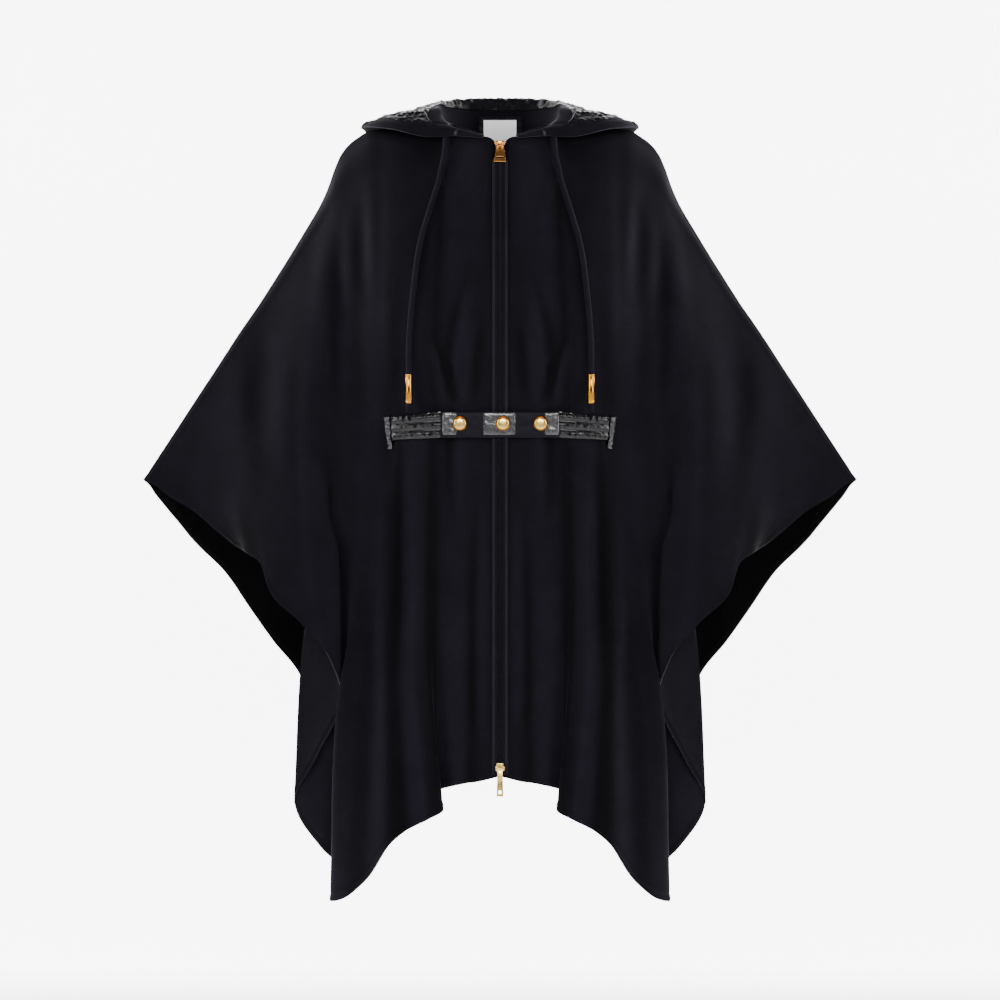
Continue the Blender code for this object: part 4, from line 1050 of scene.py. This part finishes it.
def backSurface():
    lines = backLines()
    cell = clothCell * backCoarse
    across = steps(acrossKnots(lines)[-1], cell, (), edgePlaces)
    down = steps(backLength, cell, topPlaces, edgePlaces) / backLength
    half = clothGrid(lines, across, down)
    half = creased(half, gridNormals(half, (0, 1, 0)), backCreases)
    half = edgeTurn(half, gridNormals(half, (0, 1, 0)))
    half[0, :, 0] = 0
    outer = np.concatenate([mirrored(half[:0:-1], -1), half])
    return wallOf(outer, gridNormals(outer, (0, 1, 0)), 1)


def makeBack(surface):
    # Lighter wool on the cut edges, a painted highlight, and darker wool on the inner face, painted shade
    obj = piece("back_cloth", "back", "wool", *surface, wool, edge=litEdgeWool, inside=shadedWoolInside)


# Hood

def neckHeight(panel, x):
    near = x + np.array([-0.0015, 0, 0.0015])
    return max(np.interp(near, face[:, 0, 0], face[:, 0, 2]).max() for face in panel[:2])


def hoodGrid(front, back):
    # The inner face of one half of the hood, which lies upward, from the centre seam round to the front point
    sections = np.array(list(hoodSections.values()))
    around = runOf(sections[:, -1])
    places = np.linspace(0, around[-1], hoodRows)
    rows = smooth(around, sections, places)
    stations = np.linspace(0, 1, len(hoodStations))
    grid = np.swapaxes(smooth(stations, np.swapaxes(rows, 0, 1), hoodProfile), 0, 1)
    grid[:, :, 0] = np.maximum(grid[:, :, 0], 0)
    half = back[0][len(back[0]) // 2:]
    for point in grid[:, 0]:
        point[2] = neckHeight(front if point[1] < 0 else (half, half), point[0]) + hoodSeam
    cape = treeOf([front[0], back[0]])
    past = np.clip((places - around[-2]) / (around[-1] - around[-2]), 0, 1)
    for i in range(grid.shape[0]):
        for j in range(1, grid.shape[1]):
            grid[i, j] = clearOf(cape, grid[i, j], hoodClearance * (1 - past[i]))
    return grid, np.interp(places, around, liningStart), np.interp(places, around, facingWidths), past


def hoodNormals(grid):
    normal = unit(np.cross(np.gradient(grid, axis=0), np.gradient(grid, axis=1)))
    crest = normal[:, normal.shape[1] // 5]
    if crest[:, 2].sum() < 0:
        normal = -normal
    normal[0, :, 0] = 0
    normal[:, 0, 2] = 0
    return unit(normal)


def sampled(grid, rows, shares, profile):
    # Part of a grid read anew between two shares of each row's profile
    found = []
    for i, (low, high) in zip(rows, shares):
        at = low + (high - low) * profile
        found.append(np.stack([np.interp(at, hoodProfile, grid[i, :, k]) for k in range(3)], axis=1))
    return np.array(found)


def crumple(patch):
    # Wrinkles of thin nylon: folds of two sizes, and a gather at the centre seam
    folds = np.clip(1 - np.abs(rough(patch, 70.0, 3.0)) * 2.4, 0, 1)
    small = np.clip(1 - np.abs(rough(patch, 165.0, 9.0)) * 2.6, 0, 1)
    fan = np.sin(np.arctan2(patch[..., 2] - 0.030, patch[..., 0] + 0.002) * 15)
    gathered = bell(patch[..., 0], 0, seamGather)
    return (0.60 * folds ** 2 + 0.34 * small ** 1.5) * (1 - 0.5 * gathered) + 0.35 * gathered * (1 + fan)


def makeLining(name, grid, normal, start, facing, past, fromRim):
    # The nylon of each half, from its start on each section to the facing, and the point at the front corner
    end = np.array([np.interp(wide, row[::-1], hoodProfile[::-1]) for wide, row in zip(facing, fromRim)])
    rows = [i for i in range(len(grid)) if end[i] - start[i] > 0.03 and past[i] == 0]
    profile = np.linspace(0, 1, 84)
    shares = [(start[i], end[i]) for i in rows]
    patch = sampled(grid, rows, shares, profile)
    away = unit(sampled(normal, rows, shares, profile))
    inward = np.minimum(np.arange(len(rows))[::-1] / liningFade, 1)[:, None]
    fade = np.clip(np.minimum(profile, 1 - profile) * 12, 0, 1)[None, :] * inward
    lift = liningLift + liningThin + liningThick * inward + wrinkleHeight * crumple(patch) * fade
    top = patch + away * lift[..., None]
    low = patch + away * liningLift
    rows = [i for i in range(len(grid)) if past[i] > 0.02]
    shares = [(0.06, 0.97)] * len(rows)
    point, away = (sampled(part, rows, shares, np.linspace(0, 1, 20)) for part in (grid, normal))
    pointTop = point + away * (liningThick * (1 + crumple(point)))[..., None]
    pointLow = point + away * liningThin
    skins = []
    for word, side in sides:
        pair = [
            shell("nylonMain", mirrored(top, side), mirrored(low, side), nylon, sharp=80),
            shell("nylonPoint", mirrored(pointTop, side), mirrored(pointLow, side), nylon, sharp=80),
        ]
        first = len(pair[0].data.polygons)
        skin = joined(pair, name + word, nylon)
        skin.data.materials.append(wool)
        skin.data.materials.append(nylonPanel)
        # The point is wool, and its faces nearest the front corner take the lighter glossy nylon: a painted
        # highlight
        for face in skin.data.polygons[first:]:
            face.material_index = 2 if abs(face.center.x) > glintPatchFrom else 1
        skins.append(skin)
    return skins


def makeHood(front, back):
    grid, start, facing, past = hoodGrid(front, back)
    normal = hoodNormals(grid)
    fromRim = fromEnd(grid, 1)
    groove = casingGroove * bell(fromRim, casingWidth, sewingWidth)
    casing = casingRise * bell(fromRim, casingWidth * 0.45, casingWidth * 0.30)
    upper = grid + normal * ((casing - groove) * (1 - past[:, None]))[..., None]
    lower = grid - normal * (cloth * (1 - 0.5 * past))[:, None, None]
    skins = makeLining("hood_nylon_", grid, normal, start, facing, past, fromRim)
    for (name, side), skin in zip(sides, skins):
        # The cut edges take a lighter wool: a painted highlight
        obj = piece("hood_cloth_" + name, "hood_" + name, "wool", upper, lower, wool, side, edge=litEdgeWool)
        stands(skin, "hood_lining_" + name, "nylon")
    return grid


def makeLabel(grid):
    # The nylon patch and the white label on it: half width, lower and upper end, how far off and how thick
    tree = treeOf([grid, mirrored(grid, -1)])
    for name, halfWidth, low, high, off, thick, material, slot in (
        ("label_patch", 0.0270, 0.0035, 0.0285, 0.0012, 0.0009, nylon, "nylon"),
        ("label", 0.0205, -0.0044, 0.0240, 0.0025, 0.0007, labelWeave, "label_white"),
    ):
        found = []
        for x in np.linspace(-halfWidth, halfWidth, 31):
            clear = x if abs(x) > 2e-4 else 2e-4
            zs = np.linspace(low, high, 15)
            hits = [tree.ray_cast(Vector((clear, 0.0, z)), Vector((0, 1, 0)))[0] for z in zs]
            found.append([(x, hit.y, z) for hit, z in zip(hits, zs)])
        inner = forward(np.array(found), off)
        piece(name + "_cloth", name, slot, forward(inner, thick), inner, material)


# Zip

def layOn(tree, xs, zs, off, thick):
    # The outer and the inner face of a strip that lies on a surface, at a distance from it
    inner = forward(np.array([[(x, frontY(tree, x, z), z) for z in zs] for x in xs]), off)
    return forward(inner, np.array(thick)[:, None]), inner


def makeZip(outerTree, innerTree):
    zs = np.linspace(weltTop, zipBottom - weltPast, zipRows)
    welt = layOn(outerTree, zipEdge + weltWidth * weltShares, zs, gap * 2, weltThick * weltRises)
    zs = np.linspace(zipTop, zipBottom, zipRows)
    xs = (gap, tapeWidth * 0.25, tapeWidth / 2, tapeWidth)
    tape = layOn(innerTree, xs, zs, -(tapeThick + tapeBehind), [tapeThick] * len(xs))
    for name, side in sides:
        obj = piece("welt_cloth_" + name, "zip_welt_" + name, "wool", *welt, wool, side)
        # The ridge takes a lighter wool: a painted highlight
        obj.data.materials.append(litRidgeWool)
        for face in obj.data.polygons:
            if weltWidth * litRidgeShares[0] < abs(face.center.x) - zipEdge < weltWidth * litRidgeShares[1]:
                face.material_index = 1
        piece("tape_cloth_" + name, "zip_tape_" + name, "zip_tape", *tape, tapeWeave, side)
        makeTeeth(name, side, welt[0][0])


def makeTeeth(name, side, weltLine):
    # Metal teeth between the two sliders, each side half a pitch from the other
    mesh = bmesh.new()
    shift = toothPitch / 2 if side > 0 else 0
    for i in range(int((teethRun - shift) / toothPitch)):
        z = teethTop - shift - i * toothPitch
        y = np.interp(-z, -weltLine[:, 2], weltLine[:, 1])
        made = bmesh.ops.create_cube(mesh, size=1.0)["verts"]
        bmesh.ops.scale(mesh, vec=toothSize, verts=made)
        for vert in made:
            if vert.co.x < 0:
                vert.co.z *= 0.7
        bmesh.ops.translate(mesh, vec=(toothOut, y + toothBack, z), verts=made)
    for vert in mesh.verts:
        vert.co.x *= side
    bmesh.ops.recalc_face_normals(mesh, faces=mesh.faces)
    finished(fromBmesh("teeth_" + name, mesh), "teeth_" + name, toothMetal, 30)


# Belt

def beltEdges(x):
    share = min(max(0.0, (abs(x) - beltHalf) / (slitOuter - beltHalf)), 1.2)
    middle = beltZ - beltDrop * share
    half = beltHeight / 2 * (1 - beltNarrowing * share)
    return middle - half, middle + half


def beltBand(tree, xs):
    bandY = min(frontY(tree, x, z) for x in np.linspace(-beltHalf, beltHalf, 13) for z in beltEdges(0))
    return bandY - beltLift + beltBow * (xs / beltHalf) ** 2


def makeBelt(tree):
    xs = np.linspace(-beltHalf, beltHalf, 96)
    low, high = beltEdges(0)
    share = np.array([0, 0.02, 0.06, *np.linspace(0.1, 0.9, 17), 0.94, 0.98, 1.0])
    ys = beltBand(tree, xs)
    inner = np.array([[(x, y, z) for z in low + (high - low) * share] for x, y in zip(xs, ys)])
    rounded = 1 - 0.65 * np.abs(2 * share - 1) ** 14
    ends = np.clip((beltHalf - np.abs(xs)) / 0.004, 0, 1)[:, None]
    thick = beltThick * rounded[None, :] * (0.55 + 0.45 * ends) + rough(inner, 120.0, 5.0) * bandRipple
    piece("belt_band", "belt_centre", "nylon", forward(inner, thick), inner, nylonFlat)
    for name, start, end in beltPanels:
        xs = np.linspace(start, end, 30)
        zs = np.linspace(beltPanelLow, beltPanelHigh, 22)
        base = np.array([[(x, y - beltThick, z) for z in zs] for x, y in zip(xs, beltBand(tree, xs))])
        fromSides = np.minimum(xs - start, end - xs)
        edge = np.minimum.outer(fromSides, np.minimum(zs - beltPanelLow, beltPanelHigh - zs))
        puff = 0.0002 + 0.0007 * np.sqrt(np.clip(edge / 0.003, 0, 1)) + rough(base, 160.0, 2.0) * bandRipple
        top = forward(base, np.clip(puff, 0.0001, 1))
        shell("belt_panel_" + name, top, forward(base, -0.0004), nylonPanel)
    makeElastics(tree)
    makeInnerBelt(tree)


def elasticPath(tree):
    # Where the elastic runs from the belt's end into the slit, seen from above
    startY = float(beltBand(tree, beltHalf))
    near = min(frontY(tree, slitInner - 0.004, z) for z in beltEdges(slitInner)) - gap * 3
    endX = slitInner + 0.0030
    path = np.array([
        (beltHalf + gap, startY), (0.092, min(startY, -0.1095)), (0.112, near - 0.0045),
        (slitInner - 0.004, near), (slitInner + 0.0006, near + 0.0006), (endX, near + 0.0050),
        (endX + 0.0006, near + 0.0125),
    ])
    for point in path[1:3]:
        point[1] = min(point[1], min(frontY(tree, point[0], z) for z in beltEdges(point[0])) - 0.0014)
    return path, near, endX


def makeElastics(tree):
    path = elasticPath(tree)[0]
    length = runOf(path)
    places = np.linspace(0, 1, 150)
    line = smooth(length / length[-1], path, places)
    share = np.linspace(0, 1, 40)
    rows = np.abs(np.sin(np.pi * elasticRows * share)) ** 1.6
    outer, plain = [], []
    for t, (x, y), (a, b) in zip(places, line, sideways(line)):
        low, high = beltEdges(x)
        zs = low + (high - low) * share
        wave = np.array([noise.noise(Vector((t * 44, int(s * elasticRows) * 3.1, 1.7))) for s in share])
        wave += 0.5 * np.array([noise.noise(Vector((t * 90, s * 8.0, 4.1))) for s in share])
        fade = min(1.0, 2.5 * (1 - t))
        rise = elasticThin + fade * (elasticRib * rows + elasticPuff * np.clip(wave + 0.1, 0, 1) * rows)
        lean = slitLean * leaning(zs) * np.clip((t - 0.55) / 0.25, 0, 1)
        outer.append([(x + a * up - back, y + b * up, z) for up, z, back in zip(rise, zs, lean)])
        plain.append([(x - back, y, z) for z, back in zip(zs, lean)])
    for name, side in sides:
        piece("elastic_" + name, "belt_elastic_" + name, "nylon", np.array(outer), np.array(plain),
              nylonGather, side, sharp=80)


def makeInnerBelt(tree):
    # The plain length that runs round the inside, from slit to slit
    near, endX = elasticPath(tree)[1:]
    loop = np.array([
        (endX + 0.0006, near + 0.0140), (0.150, -0.058), (0.160, -0.020), (0.156, 0.025), (0.132, 0.068),
        (0.090, 0.094), (0.045, 0.104), (0.0, 0.107),
    ])
    loop = np.concatenate([loop, loop[-2::-1] * np.array([-1, 1])])
    length = runOf(loop)
    line = smooth(length / length[-1], loop, np.linspace(0, 1, 160))
    low, high = beltEdges(slitOuter)
    share = np.linspace(0, 1, 9)
    zs = low + (high - low) * share
    lift = 0.0014 + 0.0006 * (1 - np.abs(2 * share - 1) ** 6)
    inside = np.array([[(x, y, z) for z in zs] for x, y in line])
    outside = np.array([[(x + a * up, y + b * up, z) for z, up in zip(zs, lift)]
                        for (x, y), (a, b) in zip(line, sideways(line))])
    piece("belt_inside", "belt_inner", "nylon", outside, inside, nylonFlat)


def makeSlitWelts(tree):
    # The glossy welt along the outer edge of each slit, wider at its top
    zs = np.linspace(slitTop - 0.0015, slitBottom - 0.0025, 44)
    outer, inner = [], []
    for share in np.linspace(0, 1, 11):
        lift = slitWeltThin + slitWeltRise * math.sin(math.pi * (0.10 + 0.80 * share))
        line = []
        for z in zs:
            down = (zs[0] - z) / (zs[0] - zs[-1])
            x = slitOuter - 0.0014 - slitLean * float(leaning(z)) + share * (slitWeltWidth - 0.0012 * down)
            line.append((x, frontY(tree, x, z) - gap * 1.5, z))
        inner.append(line)
        bulge = [0.0007 * noise.noise(Vector((share * 3, z * 300, 7.0))) for z in zs]
        outer.append([(x, y - lift - more, z) for (x, y, z), more in zip(line, bulge)])
    for name, side in sides:
        piece("slit_edge_" + name, "slit_welt_" + name, "nylon", np.array(outer), np.array(inner),
              nylonWelt, side)


def makeSnaps():
    for name in ("left", "middle", "right"):
        low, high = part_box("snap_" + name)
        tall = high[1] - low[1]
        profile = [(0.0, tall - 0.0006)]
        for turn in np.linspace(0.06, math.pi / 2, 12):
            profile.append((snapDome * math.sin(turn) ** 0.8, 0.0018 + (tall - 0.0024) * math.cos(turn)))
        profile += [
            (0.0079, 0.0012), (0.0084, 0.0014), (snapRadius - 0.0002, 0.0011), (snapRadius, 0.0006),
            (0.0086, 0.0), (0.0, 0.0),
        ]
        centre = ((low[0] + high[0]) / 2, high[1], (low[2] + high[2]) / 2)
        obj = latheMesh("snapCap_" + name, profile, centre, brass, 48, upright=False)
        # Past that radius the dome takes the deeper gold: painted shade where the rim turns away from the
        # lamps
        obj.data.materials.append(goldBrass)
        for face in obj.data.polygons:
            if math.hypot(face.center.x - centre[0], face.center.z - centre[2]) > snapRim:
                face.material_index = 1
        stands(obj, "snap_" + name, "brass")


# Sliders and pulls

def primitive(kind, name, middle, stretch, turn=(0, 0, 0), **extra):
    bpy.ops.object.select_all(action="DESELECT")
    getattr(bpy.ops.mesh, "primitive_" + kind + "_add")(location=middle, rotation=turn, **extra)
    obj = bpy.context.object
    obj.name = name
    obj.scale = stretch
    bpy.ops.object.transform_apply(location=True, rotation=True, scale=True)
    return obj


def applied(obj, kind, **values):
    # Gives a piece a modifier and makes its result the piece's own shape
    bpy.ops.object.select_all(action="DESELECT")
    bpy.context.view_layer.objects.active = obj
    change = obj.modifiers.new(kind, kind)
    for key, value in values.items():
        setattr(change, key, value)
    bpy.ops.object.modifier_apply(modifier=change.name)


def cutBy(obj, tool):
    applied(obj, "BOOLEAN", operation="DIFFERENCE", solver="EXACT", object=tool)
    bpy.data.objects.remove(tool)


def bevelled(obj, width, segments=3):
    applied(obj, "BEVEL", width=width, segments=segments, limit_method="ANGLE", angle_limit=math.radians(40))


def makeSlider(name, node, material, pointDown, lobes):
    # A body that narrows to one end, with two lobes; lobes says how far out and up they are, and their size
    low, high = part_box(node)
    middle = (Vector(low) + Vector(high)) / 2
    wide, deep, tall = (high[k] - low[k] for k in range(3))
    body = primitive("cube", "body", middle, (wide, min(deep, sliderDepth), tall * 0.96), size=1)
    for vert in body.data.vertices:
        if (vert.co.z < middle.z) == pointDown:
            vert.co.x *= sliderTaper
    bevelled(body, 0.0010, 4)
    parts = [body]
    for side in (-1, 1):
        at = (side * lobes[0], low[1] + 0.0006, middle.z + lobes[1])
        parts.append(primitive("uv_sphere", "lobe", at, lobes[2], segments=24, ring_count=16, radius=1))
    stands(joined(parts, name, material, 40), node, "copper_brass")


def makePull(name, node, hinge, lean, size, hole, material):
    # A tab with a notched top: the bar between its two arms turns in the slider's ring
    length, topWidth, lowWidth, thick = size
    holeWidth, holeZ, roundHole = hole
    tab = primitive("cube", "tab", (0, 0, -length / 2), (1, thick, length), size=1)
    for vert in tab.data.vertices:
        vert.co.x *= topWidth if vert.co.z > -length / 2 else lowWidth
    cutBy(tab, primitive("cube", "notch", (0, 0, -0.0012), (0.0026, toolDepth, 0.0075), size=1))
    if roundHole:
        tool = primitive("cylinder", "hole", (0, 0, holeZ), (1, 1, 1), (math.pi / 2, 0, 0),
                         vertices=40, radius=holeWidth / 2, depth=toolDepth)
    else:
        tool = primitive("cube", "hole", (0, 0, holeZ), (holeWidth, toolDepth, 0.0024), size=1)
    cutBy(tab, tool)
    bevelled(tab, 0.0003)
    bar = primitive("cylinder", "bar", (0, 0, 0), (1, 1, 1), (0, math.pi / 2, 0),
                    vertices=28, radius=barRadius, depth=topWidth * 0.98)
    bevelled(bar, 0.0003)
    obj = joined([tab, bar], name, material, 40, node)
    obj.data.transform(Matrix.Translation(hinge) @ Matrix.Rotation(-lean, 4, "X"))
    stands(obj, node, "copper_brass")
    ring = primitive("torus", "ring", hinge, (1.0, 1.0, 1.25), (0, math.pi / 2, 0),
                     major_radius=ringRadius, minor_radius=ringWire, major_segments=32, minor_segments=12)
    finished(ring, name + "Ring", material)


def makeSliders():
    hinges = {joint["name"]: joint["pos_m"] for joint in frame["record"]["behaviour"]["joints"]}
    topHinge = hinges["top_pull_swing"]
    lowHinge = hinges["bottom_pull_swing"]
    makeSlider("slider_top", "top_slider", copperBrass, True, (0.0042, 0.0014, (0.0026, 0.0022, 0.0034)))
    makeSlider("slider_low", "bottom_slider", brass, False, (0.0040, -0.0012, (0.0022, 0.0018, 0.0030)))
    makePull("pull_top", "top_pull", topHinge, topLean, (0.0215, 0.0095, 0.0155, 0.0014),
             (0.0085, -0.0162, False), copperBrass)
    makePull("pull_low", "bottom_pull", lowHinge, lowLean, (0.0345, 0.0060, 0.0085, 0.0014),
             (0.0042, -0.0290, True), brass)


# Floor and light

floorZ = -1.16
floorFront = -6.0
floorBack = 2.2
floorBend = 1.2
floorHalf = 8.0
wallTop = 5.0
glowFrom = 0.05
glowStrength = 4.0


def makeStage():
    # A pale floor that bends up into a bright backdrop; seen from behind, it lets the cape show
    profile = [(floorFront, floorZ), (floorBack, floorZ)]
    for turn in np.linspace(0, math.pi / 2, 12):
        profile.append((floorBack + floorBend * math.sin(turn), floorZ + floorBend * (1 - math.cos(turn))))
    profile.append((floorBack + floorBend, wallTop))
    points = [(x, y, z) for x in (-floorHalf, floorHalf) for y, z in profile]
    count = len(profile)
    data = bpy.data.meshes.new("floor")
    data.from_pydata(points, [], [(i + count, i + 1 + count, i + 1, i) for i in range(count - 1)])
    data.shade_smooth()
    obj = placed("floor", data)
    material, tree, shader = nodeMaterial("pale floor", (0.92, 0.92, 0.93), 0.9)
    shader.inputs["Emission Color"].default_value = (1, 1, 1, 1)
    height = tree.nodes.new("ShaderNodeSeparateXYZ")
    tree.links.new(place(tree), height.inputs["Vector"])
    glow = spread(tree, height.outputs["Z"], 0.0, glowStrength, floorZ, floorZ + glowFrom)
    tree.links.new(glow, shader.inputs["Emission Strength"])
    grain = texture(tree, "Noise", place(tree), Scale=40.0, Detail=2.0)
    tree.links.new(bump(tree, grain, 0.05, 0.002), shader.inputs["Normal"])
    clear = tree.nodes.new("ShaderNodeBsdfTransparent")
    either = tree.nodes.new("ShaderNodeMixShader")
    behind = tree.nodes.new("ShaderNodeNewGeometry").outputs["Backfacing"]
    for socket, value in zip(either.inputs, (behind, shader.outputs["BSDF"], clear.outputs["BSDF"])):
        tree.links.new(value, socket)
    tree.links.new(either.outputs["Shader"], tree.nodes["Material Output"].inputs["Surface"])
    data.materials.append(material)


def makeLight(name, at, aim, size, power):
    # A lamp of a size, turned to the place it aims at
    light = bpy.data.lights.new(name, "AREA")
    light.shape = "RECTANGLE"
    light.size, light.size_y = size
    light.energy = power
    obj = placed(name, light)
    obj.location = at
    obj.rotation_euler = (Vector(aim) - Vector(at)).to_track_quat("-Z", "Y").to_euler()


def makeLights():
    for name, side in sides:
        makeLight("side " + name, (1.25 * side, -0.95, 0.05), (0.10 * side, 0, -0.42), (0.5, 1.3), 21)
        makeLight("backdrop " + name, (2.6 * side, 0.8, 1.2), (0.8 * side, 3.4, 0.2), (1.5, 2.0), 260)
    makeLight("front", (0, -4.2, 1.0), (0, 0, -0.45), (1.7, 1.0), 112)
    makeLight("top", (0, -1.2, 2.2), (0, 0, -0.2), (1.0, 0.5), 8)
    world = bpy.data.worlds.new("studio")
    world.use_nodes = True
    world.node_tree.nodes["Background"].inputs["Color"].default_value = (0.93, 0.94, 0.96, 1)
    world.node_tree.nodes["Background"].inputs["Strength"].default_value = 0.10
    bpy.context.scene.world = world


front = frontSurface()
outerTree = treeOf([front[0]])
innerTree = treeOf([front[1]])
print("front surface made")
makeCords(outerTree)
print("cords made")
makeFronts(front)
back = backSurface()
makeBack(back)
print("front and back panels made")
makeLabel(makeHood(front, back))
print("hood and label made")
makeZip(outerTree, innerTree)
print("zip made")
makeBelt(outerTree)
makeSlitWelts(outerTree)
makeSnaps()
makeSliders()
print("belt and sliders made")
makeStage()
makeLights()
